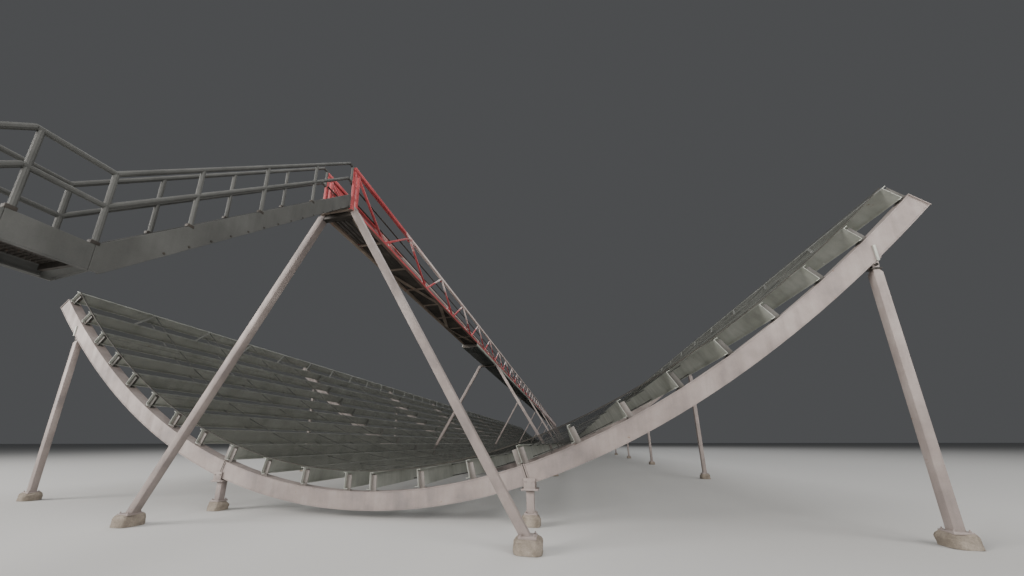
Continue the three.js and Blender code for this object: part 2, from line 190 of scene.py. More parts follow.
def extruded(bm, corners, run):
    """A closed solid: the face through the corners, drawn out along run. Gives its vertices."""
    verts = [bm.verts.new(corner) for corner in corners]
    grown = bmesh.ops.extrude_face_region(bm, geom=[bm.faces.new(verts)])
    far = [part for part in grown["geom"] if isinstance(part, bmesh.types.BMVert)]
    bmesh.ops.translate(bm, verts=far, vec=run)
    return verts + far


def plate(bm, outline, thickness, place, edge=0.0):
    """A flat plate: an outline in the place's x and y, thick along its z."""
    corners = [(u, v, -thickness / 2) for u, v in outline]
    verts = extruded(bm, corners, (0, 0, thickness))
    bmesh.ops.transform(bm, matrix=place, verts=verts)
    if edge:
        round_edges(bm, verts, edge, 1)


def stamp(bm, ready, place):
    """A copy of a ready mesh at a place."""
    count = len(bm.verts)
    bm.from_mesh(ready)
    bm.verts.ensure_lookup_table()
    bmesh.ops.transform(bm, matrix=place, verts=bm.verts[count:])


def template(name, bm):
    """A ready mesh to stamp, made of bm, which ends here."""
    mesh = bpy.data.meshes.new(name)
    bm.to_mesh(mesh)
    bm.free()
    return mesh


def piece(name, bm, material, replaces=(), smooth=True):
    """The finished piece: closed shells with outward faces, riding on the root body."""
    bmesh.ops.recalc_face_normals(bm, faces=bm.faces)
    mesh = template(name, bm)
    if smooth:
        for polygon in mesh.polygons:
            polygon.use_smooth = True
        mesh.set_sharp_from_angle(angle=SHARP_ANGLE)
    mesh.materials.append(material)
    obj = bpy.data.objects.new(name, mesh)
    bpy.context.scene.collection.objects.link(obj)
    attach(obj, "root")
    if replaces:
        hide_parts(*replaces)


# The parabola of the trough

def slope_at(x):
    return x / (2 * FOCAL_LENGTH)


def surface_z(x):
    return VERTEX_Z + x * x / (4 * FOCAL_LENGTH)


def arc_at(x):
    slope = slope_at(x)
    return FOCAL_LENGTH * (slope * math.sqrt(1 + slope * slope) + math.asinh(slope))


def x_at_arc(arc):
    x = arc
    for _ in range(SOLVER_ROUNDS):
        x -= (arc_at(x) - arc) / math.hypot(1, slope_at(x))
    return x


def down_normal(arc):
    """The direction square to the surface, pointing down and outwards."""
    slope = slope_at(x_at_arc(arc))
    length = math.hypot(1, slope)
    return Vector((slope / length, 0, -1 / length))


def on_trough(arc, offset, y):
    x = x_at_arc(arc)
    return Vector((x, y, surface_z(x))) + down_normal(arc) * offset


def trough_place(arc, offset, y=0):
    """A place on the trough: x along the curve to the right, y along the trough, z up from it."""
    up = -down_normal(arc)
    return basis(Y.cross(up), Y, up, on_trough(arc, offset, y))


def line_arc(index):
    return FIRST_LINE_ARC + index * LINE_PITCH_ARC


def steps(start, end, count):
    return [start + (end - start) * i / count for i in range(count + 1)]


def curved_band(bm, arcs, top, bottom, start_y, end_y, edge=0.0):
    """A band between two offsets, through the arcs, as wide as start_y to end_y."""
    corners = [on_trough(arc, top, start_y) for arc in arcs]
    corners += [on_trough(arc, bottom, start_y) for arc in reversed(arcs)]
    verts = extruded(bm, corners, (0, end_y - start_y, 0))
    if edge:
        round_edges(bm, verts, edge, 1)


def arc_over(x):
    """The arc at which a rib's lower face stands over x."""
    on_surface = abs(x)
    for _ in range(SOLVER_ROUNDS):
        slope = slope_at(on_surface)
        on_surface = abs(x) - RIB_BOTTOM_OFFSET * slope / math.hypot(1, slope)
    return math.copysign(arc_at(on_surface), x)


def rib_underside(x):
    """The height of a rib's lower face over x."""
    return on_trough(arc_over(x), RIB_BOTTOM_OFFSET, 0).z


# Materials

def grey(value):
    return (value, value, value)


class Finish:
    """A material, with short calls for the nodes that make its looks."""

    def __init__(self, name):
        self.material = bpy.data.materials.new(name)
        self.material.use_nodes = True
        self.nodes = self.material.node_tree.nodes
        self.links = self.material.node_tree.links

    def feed(self, socket, source):
        """Gives a socket a link, a colour or a number."""
        if isinstance(source, bpy.types.NodeSocket):
            self.links.new(source, socket)
        elif socket.type == "RGBA":
            socket.default_value = (*source, 1)
        else:
            socket.default_value = source

    def feed_all(self, node, sources):
        """Feeds a node's sockets by their names."""
        for name, source in sources.items():
            self.feed(node.inputs[name], source)
        return node

    def look(self, sources):
        """Feeds the shader's own sockets by their names."""
        self.feed_all(self.nodes["Principled BSDF"], sources)

    def add(self, kind, sources):
        """A new node, its sockets fed by their names."""
        return self.feed_all(self.nodes.new("ShaderNode" + kind), sources)

    def place(self):
        """Where a point is on the object's own coordinates."""
        return self.nodes.new("ShaderNodeTexCoord").outputs["Object"]

    def parts(self, vector):
        return self.add("SeparateXYZ", {"Vector": vector}).outputs

    def noise(self, scale, detail, roughness, stretch=(1, 1, 1)):
        """A noise on the object's own coordinates, drawn out where the stretch is small."""
        place = self.add("Mapping", {"Vector": self.place(), "Scale": stretch}).outputs["Vector"]
        grain = {"Scale": scale, "Detail": detail, "Roughness": roughness}
        return self.add("TexNoise", {"Vector": place, **grain}).outputs["Fac"]

    def ramp(self, source, *stops):
        """Colours along a value: each stop is a position and a colour."""
        node = self.add("ValToRGB", {"Fac": source})
        elements = node.color_ramp.elements
        while len(elements) < len(stops):
            elements.new(0.5)
        for element, (position, color) in zip(elements, stops):
            element.position = position
            element.color = (*color, 1)
        return node.outputs["Color"]

    def mix(self, factor, first, second, blend="MIX"):
        node = self.nodes.new("ShaderNodeMix")
        node.data_type = "RGBA"
        node.blend_type = blend
        self.feed_all(node, {"Factor": factor, "A": first, "B": second})
        return node.outputs["Result"]

    def tint(self, color, share, tone):
        """A share of the colour is multiplied by a tone."""
        return self.mix(share, color, tone, "MULTIPLY")

    def maths(self, operation, first, second=0.0, third=0.0):
        node = self.nodes.new("ShaderNodeMath")
        node.operation = operation
        for socket, source in zip(node.inputs, (first, second, third)):
            self.feed(socket, source)
        return node.outputs["Value"]

    def fade(self, source, start, end, low=0.0, high=1.0):
        """Low until the source reaches start, high from end on, and even between."""
        limits = {"From Min": start, "From Max": end, "To Min": low, "To Max": high}
        return self.add("MapRange", {"Value": source, **limits}).outputs["Result"]

    def bump(self, height, strength, distance):
        sources = {"Height": height, "Strength": strength, "Distance": distance}
        self.look({"Normal": self.add("Bump", sources).outputs["Normal"]})


RAIN_STRETCH = (1, 1, 0.12)
DARK_RUST = (0.13, 0.055, 0.03)


def weathered_metal(name, tones, metallic, rough, rust, rust_from):
    """Painted or zinc-coated steel: cloudy tones, rain streaks, a fine grain and a little rust."""
    finish = Finish(name)
    clouds = finish.noise(scale=14, detail=5, roughness=0.6)
    color = finish.ramp(clouds, *zip((0.3, 0.5, 0.72), tones))
    streaks = finish.noise(scale=60, detail=4, roughness=0.6, stretch=RAIN_STRETCH)
    color = finish.tint(color, 0.6, finish.ramp(streaks, (0.35, grey(0.80)), (0.6, grey(1.0))))
    grain = finish.noise(scale=900, detail=3, roughness=0.7)
    color = finish.tint(color, 0.7, finish.ramp(grain, (0.3, grey(0.86)), (0.7, grey(1.04))))
    spots = finish.noise(scale=38, detail=8, roughness=0.72)
    rusty = finish.ramp(spots, (rust_from, grey(0)), (rust_from + 0.06, grey(1)))
    color = finish.mix(rusty, color, finish.ramp(grain, (0.3, DARK_RUST), (0.7, rust)))
    roughness = finish.ramp(streaks, (0.3, grey(rough + 0.12)), (0.7, grey(rough - 0.08)))
    finish.look({"Base Color": color, "Metallic": metallic, "Roughness": roughness})
    finish.bump(grain, strength=0.25, distance=0.0004)
    return finish.material


WIRE_PITCH = 0.0025
WIRE_HALF = WIRE_PITCH * 0.13
ROLL_LENGTH = 1.0
ROLL_WIDTH = 0.3054
LAP_HALF = 0.0010
FILM, FILM_SPREAD = 0.17, 0.04
WIRE_COVER = 0.55


def mesh_lines(finish, coordinate, pitch, half_width):
    """1 on a line every pitch, 0 between, with soft edges."""
    wave = finish.maths("PINGPONG", coordinate, pitch / 2)
    return finish.fade(wave, half_width * 0.6, half_width * 1.4, 1, 0)


def wire_mesh_material():
    """Woven wire on the surface's own map: u along the curve and v along the trough, in metres."""
    finish = Finish("galvanised_wire_mesh")
    surface = finish.nodes.new("ShaderNodeUVMap")
    surface.uv_map = "surface"
    parts = finish.parts(surface.outputs["UV"])
    u, v = parts["X"], parts["Y"]
    wires = [mesh_lines(finish, way, WIRE_PITCH, WIRE_HALF) for way in (u, v)]
    wires = finish.maths("MAXIMUM", *wires)
    rolls = ((v, ROLL_LENGTH), (u, ROLL_WIDTH))
    laps = [mesh_lines(finish, way, roll, LAP_HALF) for way, roll in rolls]
    laps = finish.maths("MAXIMUM", *laps)
    panel = panel_number(finish, u, v)
    clouds = finish.noise(scale=9, detail=5, roughness=0.6)
    color = finish.ramp(clouds, (0.3, (0.022, 0.024, 0.019)), (0.7, (0.045, 0.046, 0.037)))
    color = finish.tint(color, 1.0, finish.ramp(panel, (0, grey(0.8)), (1, grey(1.1))))
    color = finish.mix(laps, color, (0.09, 0.09, 0.08))
    cover = finish.maths("MULTIPLY_ADD", panel, FILM_SPREAD, FILM)
    for drawn in (wires, laps):
        cover = finish.maths("MAXIMUM", cover, finish.maths("MULTIPLY", drawn, WIRE_COVER))
    finish.look({"Base Color": color, "Alpha": cover})
    finish.look({"Metallic": 0.1, "Roughness": 0.75, "Specular IOR Level": 0.25})
    return finish.material


def panel_number(finish, u, v):
    """A number of its own for each panel of mesh, from 0 to 1."""
    across = finish.maths("FLOOR", finish.maths("DIVIDE", u, ROLL_WIDTH))
    along_trough = finish.maths("FLOOR", finish.maths("DIVIDE", v, ROLL_LENGTH))
    panel = finish.add("CombineXYZ", {"X": across, "Y": along_trough}).outputs["Vector"]
    return finish.add("TexWhiteNoise", {"Vector": panel}).outputs["Value"]


def concrete_material():
    finish = Finish("rough_concrete")
    clouds = finish.noise(scale=45, detail=8, roughness=0.65)
    color = finish.ramp(
        clouds, (0.3, (0.15, 0.125, 0.10)), (0.5, (0.25, 0.215, 0.175)), (0.7, (0.36, 0.32, 0.27)),
    )
    grit = finish.noise(scale=700, detail=4, roughness=0.7)
    color = finish.tint(color, 0.7, finish.ramp(grit, (0.35, grey(0.72)), (0.6, grey(1.08))))
    finish.look({"Base Color": color, "Roughness": 0.92})
    height = finish.maths("MULTIPLY_ADD", clouds, 2.0, grit)
    finish.bump(height, strength=0.7, distance=0.0012)
    return finish.material


# Where the painted red lamp light falls off to pale: an axis, where the change starts and ends,
# and the wear at both
RED_LAMP_FADES = (
    ("Z", TRUSS_LOW.z + 0.010, TRUSS_HIGH.z - 0.010, -0.10, 0.32),
    ("Y", TRUSS_LOW.y + 0.120, TRUSS_LOW.y + 0.380, -0.34, 0.0),
    ("Y", TRUSS_LOW.y + 1.6, TRUSS_LOW.y + 4.0, 0.0, 0.22),
)
BARE_PAINT = (0.66, 0.57, 0.54)
# Painted shade for the truss's underside
SHADED_UNDERSIDE = (0.13, 0.085, 0.070)


def red_lamp_light_material(name, fades):
    """Red over pale steel, broken into pale patches by a noise. The red is painted light from a
    red lamp at the truss's near end. Where it fades, that painted light falls off to pale upwards
    and towards the far end, and the underside is painted shade in dull brown."""
    finish = Finish(name)
    clouds = finish.noise(scale=12, detail=5, roughness=0.6)
    # These reds are painted red lamp light laid over the pale steel
    color = finish.ramp(
        clouds,
        (0.3, (0.27, 0.036, 0.042)), (0.55, (0.40, 0.065, 0.070)), (0.75, (0.50, 0.125, 0.13)),
    )
    wear = finish.noise(scale=26, detail=7, roughness=0.7, stretch=(1, 0.4, 1))
    wear_and_lamp_falloff = wear
    if fades:
        at = finish.parts(finish.place())
        for axis, start, end, low, high in RED_LAMP_FADES:
            wear_and_lamp_falloff = finish.maths("ADD", wear_and_lamp_falloff, finish.fade(at[axis], start, end, low, high))
    color = finish.mix(finish.ramp(wear_and_lamp_falloff, (0.60, grey(0)), (0.72, grey(1))), color, BARE_PAINT)
    # Painted shade: the lowest faces of the bottom chord turn dull brown
    if fades:
        side = finish.fade(at["Z"], TRUSS_LOW.z + 0.0010, TRUSS_LOW.z + 0.0018)
        color = finish.mix(side, SHADED_UNDERSIDE, color)
    grain = finish.noise(scale=800, detail=3, roughness=0.7)
    color = finish.tint(color, 0.6, finish.ramp(grain, (0.3, grey(0.84)), (0.7, grey(1.05))))
    roughness = finish.ramp(wear, (0.3, grey(0.62)), (0.7, grey(0.42)))
    finish.look({"Base Color": color, "Roughness": roughness})
    finish.bump(wear, strength=0.3, distance=0.0004)
    return finish.material


STEEL = weathered_metal(
    "weathered_grey_steel",
    [(0.225, 0.196, 0.190), (0.310, 0.264, 0.247), (0.385, 0.338, 0.318)],
    metallic=0.1, rough=0.58, rust=(0.26, 0.16, 0.11), rust_from=0.66,
)
# Cleats: the rib's steel darkened as painted shade; the outer ones are darker still as painted
# shade
CLEAT_STEEL = weathered_metal(
    "shaded_grey_cleat_steel",
    [(0.17, 0.155, 0.145), (0.23, 0.21, 0.195), (0.29, 0.265, 0.25)],
    metallic=0.15, rough=0.55, rust=(0.22, 0.13, 0.08), rust_from=0.62,
)
SHADED_OUTER_CLEAT_STEEL = weathered_metal(
    "painted_shade_cleat_steel",
    [(0.065, 0.062, 0.056), (0.092, 0.088, 0.080), (0.125, 0.120, 0.110)],
    metallic=0.15, rough=0.60, rust=(0.14, 0.085, 0.05), rust_from=0.62,
)
# Rim braces: far paler than their zinc tone as painted light, for bars that sit in shade under the
# mesh
PAINTED_LIGHT_BRACE = weathered_metal(
    "painted_light_brace_steel",
    [(0.50, 0.51, 0.48), (0.62, 0.63, 0.60), (0.72, 0.73, 0.70)],
    metallic=0.1, rough=0.5, rust=(0.30, 0.24, 0.17), rust_from=0.70,
)
ZINC = weathered_metal(
    "dull_galvanised_steel",
    [(0.30, 0.315, 0.275), (0.41, 0.425, 0.385), (0.50, 0.515, 0.475)],
    metallic=0.25, rough=0.5, rust=(0.26, 0.20, 0.13), rust_from=0.64,
)
STAIR_METAL = weathered_metal(
    "grey_stair_steel",
    [(0.070, 0.072, 0.068), (0.095, 0.097, 0.092), (0.125, 0.128, 0.121)],
    metallic=0.2, rough=0.62, rust=(0.12, 0.09, 0.06), rust_from=0.68,
)
BROWN = weathered_metal(
    "brown_brace_steel",
    [(0.14, 0.108, 0.085), (0.22, 0.175, 0.14), (0.30, 0.245, 0.20)],
    metallic=0.15, rough=0.60, rust=(0.22, 0.095, 0.05), rust_from=0.60,
)
DARK = weathered_metal(
    "dark_deck_steel",
    [(0.025, 0.021, 0.018), (0.042, 0.036, 0.030), (0.075, 0.064, 0.052)],
    metallic=0.25, rough=0.65, rust=(0.16, 0.075, 0.04), rust_from=0.66,
)
HOUSING = weathered_metal(
    "dark_sheet_metal",
    [(0.050, 0.056, 0.054), (0.078, 0.084, 0.080), (0.12, 0.125, 0.12)],
    metallic=0.3, rough=0.5, rust=(0.20, 0.10, 0.06), rust_from=0.78,
)
WIRE = wire_mesh_material()
CONCRETE = concrete_material()
# The truss's red, in both finishes, is painted red lamp light; the first one also falls off along
# the truss
RED = red_lamp_light_material("fading_red_lamp_light", True)
RED_PLATE = red_lamp_light_material("plain_red_lamp_light", False)


# Reflector: four rows of wire mesh a side, stretched over the purlins

MESH_SHEET = 0.0008
HOLED_ROW = 1
HOLE_ARC = 0.0145
HOLE_Y = 0.0125


def leg_at_height(z):
    """How far out a leg's middle line is at a height."""
    return LEG_FOOT_X + (LEG_TOP_X - LEG_FOOT_X) * (z - LEG_FOOT_Z) / (LEG_TOP_Z - LEG_FOOT_Z)


def leg_arc():
    """The arc at which a leg passes through the mesh."""
    x = LEG_FOOT_X
    for _ in range(SOLVER_ROUNDS):
        x = leg_at_height(surface_z(x))
    return arc_at(x)


def row_arcs(start, end):
    """A row's edges, the lines under it, and the middles between them."""
    lines = [line_arc(line) for line in range(LINES_A_SIDE)]
    arcs = sorted({start, end, *(arc for arc in lines if start < arc < end)})
    return sorted({*arcs, *((a + b) / 2 for a, b in zip(arcs, arcs[1:]))})


def strip_of_faces(bm, arcs, stations):
    """Faces over the arcs, drawn out along the trough from station to station."""
    first = [bm.verts.new(on_trough(arc, MESH_SHEET, stations[0])) for arc in arcs]
    edges = [bm.edges.new(pair) for pair in zip(first, first[1:])]
    for near, far in zip(stations, stations[1:]):
        grown = bmesh.ops.extrude_edge_only(bm, edges=edges)["geom"]
        verts = [part for part in grown if isinstance(part, bmesh.types.BMVert)]
        bmesh.ops.translate(bm, verts=verts, vec=(0, far - near, 0))
        edges = [part for part in grown if isinstance(part, bmesh.types.BMEdge)]
        edges = [edge for edge in edges if abs(edge.verts[0].co.y - edge.verts[1].co.y) < 1e-6]


def cut_leg_holes(bm, holes):
    cut = []
    for face in bm.faces:
        centre = face.calc_center_median()
        beside_leg = abs(abs(arc_at(centre.x)) - leg_arc()) < HOLE_ARC
        if beside_leg and any(abs(centre.y - y) < HOLE_Y for y in holes):
            cut.append(face)
    bmesh.ops.delete(bm, geom=cut, context="FACES")


def mesh_row(side, node, arcs, holes):
    """One row of mesh, with holes where the legs pass through it."""
    stations = {MESH_START_Y, MESH_END_Y}
    if holes:
        arcs = sorted({*arcs, leg_arc() - HOLE_ARC, leg_arc() + HOLE_ARC})
        stations |= {y + way * HOLE_Y for y in holes for way in (-1, 1)}
    bm = bmesh.new()
    surface = bm.loops.layers.uv.new("surface")
    strip_of_faces(bm, [side * arc for arc in arcs], sorted(stations))
    if holes:
        cut_leg_holes(bm, holes)
    bmesh.ops.recalc_face_normals(bm, faces=bm.faces)
    if bm.faces[:][0].normal.z < 0:
        bmesh.ops.reverse_faces(bm, faces=bm.faces)
    bmesh.ops.solidify(bm, geom=bm.faces[:], thickness=MESH_SHEET)
    for face in bm.faces:
        for loop in face.loops:
            loop[surface].uv = (arc_at(loop.vert.co.x), loop.vert.co.y)
    piece(f"wire_{node}", bm, WIRE, [node], smooth=False)


def reflector():
    seams = [0.0, *(line_arc(line) for line in SEAM_LINES), RIM_ARC]
    for side, word in SIDES:
        for row, (start, end) in enumerate(zip(seams, seams[1:])):
            holes = LEG_ROWS_Y[1:-1] if row == HOLED_ROW else []
            mesh_row(side, f"mesh_row_{word}_{row + 1}", row_arcs(start, end), holes)


EDGE_STRIP = 0.003
EDGE_STRIP_FACETS = 48


def mesh_edges():
    """A flat strip under each end of the mesh, along the curve."""
    for near, word in ((MESH_START_Y, "near"), (MESH_END_Y - EDGE_STRIP, "far")):
        bm = bmesh.new()
        for side in (-1, 1):
            arcs = [side * arc for arc in steps(0.002, RIM_ARC - 0.001, EDGE_STRIP_FACETS)]
            curved_band(bm, arcs, 0.0017, 0.0028, near, near + EDGE_STRIP)
        piece(f"mesh_edge_{word}", bm, DARK, smooth=False)


# Purlins, the thin bars and braces between them, and the cleats that hold them on the ribs

PURLIN_SHEET = 0.0008
FLANGE = 0.0065
FLANGE_LIP = 0.0018


def purlin_template():
    """One folded purlin, straight along Y with its top at z = 0, over the whole length."""
    bm = bmesh.new()
    depth, sheet, half = PURLIN_BOTTOM_OFFSET - PURLIN_TOP_OFFSET, PURLIN_SHEET, PURLIN_SHEET / 2
    outline = [
        (-half, 0), (FLANGE, 0), (FLANGE, -FLANGE_LIP), (FLANGE - sheet, -FLANGE_LIP),
        (FLANGE - sheet, -sheet), (half, -sheet), (half, -depth), (-FLANGE, -depth),
        (-FLANGE, FLANGE_LIP - depth), (sheet - FLANGE, FLANGE_LIP - depth),
        (sheet - FLANGE, sheet - depth), (-half, sheet - depth),
    ]
    start, end = NEAR_RIB_Y - RIB_WIDTH / 2, FAR_RIB_Y + RIB_WIDTH / 2
    plate(bm, outline, end - start, basis(X, Z, -Y, Vector((0, (start + end) / 2, 0))))
    return template("purlin", bm)


def purlins():
    one = purlin_template()
    for side, word in SIDES:
        for row in range(LINES_A_SIDE // LINES_A_ROW):
            bm = bmesh.new()
            for line in range(row * LINES_A_ROW, (row + 1) * LINES_A_ROW):
                place = trough_place(side * line_arc(line), PURLIN_TOP_OFFSET)
                stamp(bm, one, place @ Matrix.Diagonal((side, 1, 1, 1)))
            node = f"purlin_row_{word}_{row + 1}"
            piece(f"folded_{node}", bm, ZINC, [node], smooth=False)


BRIDGING_SIZE = 0.0022
BRIDGING_SHARES = (0.2, 0.4, 0.6, 0.8)
BRIDGING_OFFSETS = (PURLIN_TOP_OFFSET + 0.003, PURLIN_BOTTOM_OFFSET - 0.003)


def bridging():
    """Thin bars between the purlins at their top and bottom edges, at four places in each bay."""
    size = BRIDGING_SIZE
    for side, word in SIDES:
        bm = bmesh.new()
        arcs = [side * line_arc(line) for line in range(LINES_A_SIDE)]
        if side > 0:
            arcs.insert(0, -line_arc(0))
        for bay in range(BAYS):
            for share in BRIDGING_SHARES:
                y = NEAR_RIB_Y + (bay + share) * BAY
                for offset in BRIDGING_OFFSETS:
                    for a, b in zip(arcs, arcs[1:]):
                        bar(bm, on_trough(a, offset, y), on_trough(b, offset, y), size, size, Y)
        piece(f"bridging_{word}", bm, STAIR_METAL, smooth=False)


BRACE_RUN = 0.12
BRACES_A_BAY = 5
BRACE_FLANGE = 0.0058
BRACE_SHEET = 0.0014


def rim_braces():
    """Slanting bars from the top of the outermost purlin to the bottom of the next one in."""
    outer, inner = line_arc(LINES_A_SIDE - 1), line_arc(LINES_A_SIDE - 2)
    for side, word in SIDES:
        bm = bmesh.new()
        for station in range(1, BAYS * BRACES_A_BAY + 1):
            y = NEAR_RIB_Y + station * BAY / BRACES_A_BAY
            start = on_trough(side * outer, PURLIN_TOP_OFFSET + 0.002, y - 0.004)
            end = on_trough(side * inner, PURLIN_BOTTOM_OFFSET - 0.002, y - BRACE_RUN)
            bar(bm, start, end, BRACE_FLANGE, BRACE_SHEET, Z)
            bar(bm, start, end, BRACE_SHEET, BRACE_FLANGE, Z)
        piece(f"rim_braces_{word}", bm, PAINTED_LIGHT_BRACE, smooth=False)


CLEAT_SHEET = 0.0013
CLEAT_FOOT_SHEET = 0.0014
CLEAT_GAP = 0.0004
CLEAT_HALF = 0.0055
CLEAT_REACH = 0.0115
CLEAT_HEAD = -0.009
CLEAT_EDGE = 0.0002
SPLICE_ARC = 0.3334
FIRST_OUTER_LINE = 6


def cleat_template():
    """An angle cleat that stands on a rib beside a purlin, with z = 0 on the mesh."""
    bm = bmesh.new()
    foot, foot_top = -RIB_TOP_OFFSET, CLEAT_FOOT_SHEET - RIB_TOP_OFFSET
    near, back = -CLEAT_HALF, CLEAT_GAP + CLEAT_SHEET
    block(bm, (CLEAT_GAP, near, foot), (back, -near, CLEAT_HEAD), CLEAT_EDGE)
    block(
        bm, (CLEAT_GAP, near - CLEAT_SHEET, foot), (CLEAT_REACH, near, CLEAT_HEAD - 0.0015),
        CLEAT_EDGE,
    )
    block(bm, (-0.0035, near - 0.001, foot), (CLEAT_REACH, -near + 0.001, foot_top), CLEAT_EDGE)
    for z in (-0.016, -0.029):
        bolt(bm, (back, 0.0015, z), X, 0.0014, 0.0012)
    for x in (0.0045, 0.0088):
        bolt(bm, (x, 0.001, foot_top), Z, 0.0013, 0.0012)
    return template("cleat", bm)


def cleats():
    """A cleat for every purlin on every rib, and a second one beside each rib splice. All are
    darker than the rib as painted shade, and the outer ones are darker still as more painted
    shade."""
    one = cleat_template()
    for rib in range(BAYS + 1):
        inner, outer = bmesh.new(), bmesh.new()
        y = NEAR_RIB_Y + rib * BAY
        turn = Matrix.Diagonal((1, -1, 1, 1)) if rib == BAYS else Matrix()
        for side in (-1, 1):
            for line in range(LINES_A_SIDE):
                arc = line_arc(line)
                place = trough_place(side * arc, 0, y) @ turn
                stamp(outer if line >= FIRST_OUTER_LINE else inner, one, place)
                if abs(arc - SPLICE_ARC) < 0.002:
                    stamp(inner, one, place @ Matrix.Diagonal((-1, 1, 1, 1)))
        piece(f"purlin_cleats_{rib + 1:02d}", inner, CLEAT_STEEL)
        piece(f"outer_purlin_cleats_{rib + 1:02d}", outer, SHADED_OUTER_CLEAT_STEEL)


# Ribs on their columns and footings

RIB_FACETS = 72
RIB_DEPTH = RIB_BOTTOM_OFFSET - RIB_TOP_OFFSET
RIB_MIDDLE_OFFSET = RIB_TOP_OFFSET + RIB_DEPTH / 2
RIB_LIP = 0.0016
SPLICE_PLATE = 0.0018
FINE_EDGE = 0.0003
POST_FOOT_Z = FOOTING_HEIGHT - 0.002


def rib_template():
    """A curved box rib with thin lips, end caps and bolted splices, at y = 0."""
    bm = bmesh.new()
    arcs = steps(-RIB_END_ARC, RIB_END_ARC, RIB_FACETS)
    half, web = RIB_WIDTH / 2, RIB_WIDTH / 2 - 0.0008
    curved_band(bm, arcs, RIB_TOP_OFFSET + 0.0010, RIB_BOTTOM_OFFSET - 0.0010, -web, web, 0.0008)
    curved_band(bm, arcs, RIB_TOP_OFFSET, RIB_TOP_OFFSET + RIB_LIP, -half, half)
    curved_band(bm, arcs, RIB_BOTTOM_OFFSET - RIB_LIP, RIB_BOTTOM_OFFSET, -half, half)
    for side in (-1, 1):
        end = trough_place(side * RIB_END_ARC, RIB_MIDDLE_OFFSET)
        slab(bm, end, (0.0016, RIB_WIDTH + 0.002, RIB_DEPTH + 0.002), FINE_EDGE, 1)
        for shift in (-SPLICE_PLATE, SPLICE_PLATE):
            seat = trough_place(side * (SPLICE_ARC + shift), RIB_MIDDLE_OFFSET)
            slab(bm, seat, (SPLICE_PLATE, RIB_WIDTH + 0.0016, RIB_DEPTH + 0.004), FINE_EDGE, 1)
    return template("rib", bm)


def base_plate(bm, x, y, half):
    """A plate on a footing, with a bolt and its stud at each corner."""
    top = FOOTING_HEIGHT + 0.0016
    post(bm, (x, y), (half, half), POST_FOOT_Z, top, FINE_EDGE)
    for u in (-1, 1):
        for v in (-1, 1):
            spot = Vector((x + u * (half - 0.003), y + v * (half - 0.003), top))
            bolt(bm, spot, Z, 0.0017)
            pipe(bm, spot, spot + Z * 0.0032, 0.0008, 6)


CHEEK = 0.0009


def short_column(bm, x):
    """Square post with a base plate, and a flange and cheeks that grip the rib."""
    under = rib_underside(x)
    half = SHORT_COLUMN_SIZE / 2
    post(bm, (x, 0), (half, half), POST_FOOT_Z, under - 0.0100, 0.0012)
    base_plate(bm, x, 0, 0.0115)
    outer = RIB_WIDTH / 2 + 0.0016
    for way in (-1, 1):
        y = way * outer
        post(bm, (x, y), (0.0105, CHEEK), under - 0.0085, under + 0.0105, FINE_EDGE)
        for u in (-0.0070, 0.0070):
            bolt(bm, (x + u, y + way * CHEEK, under + 0.0045), way * Y, 0.0015)
    post(bm, (x, 0), (0.0155, outer + 0.0012), under - 0.0110, under - 0.0080, 0.0005)
    for u in (-0.0065, 0.0065):
        post(bm, (x + u, 0), (CHEEK, outer), under - 0.0085, under + 0.002)


COLUMN_HEAD_GAP = 0.021
NECK_HEIGHT = 0.0070
NECK_RADIUS = 0.0056


def tall_column(bm, x):
    """Square column that narrows to a neck, with ears for its pin and a seat on the rib."""
    half = TALL_COLUMN_SIZE / 2
    head = rib_underside(x) - COLUMN_HEAD_GAP
    post(bm, (x, 0), (half, half), POST_FOOT_Z, head, 0.0014)
    base_plate(bm, x, 0, 0.0120)
    bmesh.ops.create_cone(
        bm, cap_ends=True, segments=4, radius1=half * 1.30, radius2=NECK_RADIUS, depth=NECK_HEIGHT,
        matrix=Matrix.Translation((x, 0, head + 0.0030)) @ Matrix.Rotation(math.pi / 4, 4, "Z"),
    )
    lean = 0.006 * slope_at(x)
    outline = [
        (-0.0045, 0.0090), (0.0045, 0.0090), (0.0060, 0.0225 + lean), (-0.0060, 0.0225 - lean),
    ]
    for y in (-0.0052, 0.0052):
        plate(bm, outline, 0.0014, basis(X, Z, -Y, Vector((x, y, head))), 0.0002)
    seat = trough_place(arc_over(x), RIB_BOTTOM_OFFSET + 0.0010)
    slab(bm, seat, (0.018, RIB_WIDTH - 0.004, 0.0020))


def column_strips(bm, x):
    """The upright strips on the rib's faces, in line with the column."""
    under = rib_underside(x)
    for y in (-RIB_WIDTH / 2, RIB_WIDTH / 2):
        post(bm, (x, y), (0.0018, 0.0016), under - 0.0030, under + 0.0270, FINE_EDGE)


PIN_HALF_LENGTH = 0.0085
PIN_NUT = 0.0012


def column_pin(bm, x):
    """The dark cross plate on the neck, and the pin above it with its nuts."""
    head = rib_underside(x) - COLUMN_HEAD_GAP
    pin_z = head + 0.0135
    post(bm, (x, 0), (0.0080, 0.0055), head + 0.0062, head + 0.0080, 0.0004)
    pipe(bm, (x, -PIN_HALF_LENGTH, pin_z), (x, PIN_HALF_LENGTH, pin_z), 0.0017)
    for y in (-PIN_HALF_LENGTH, PIN_HALF_LENGTH - PIN_NUT):
        pipe(bm, (x, y, pin_z), (x, y + PIN_NUT, pin_z), 0.0027, 6)


RIM_ROUNDING = 0.0085
COARSE_LUMPS, COARSE_PUSH = 75, 0.0034
FINE_LUMPS, FINE_PUSH = 240, 0.0009


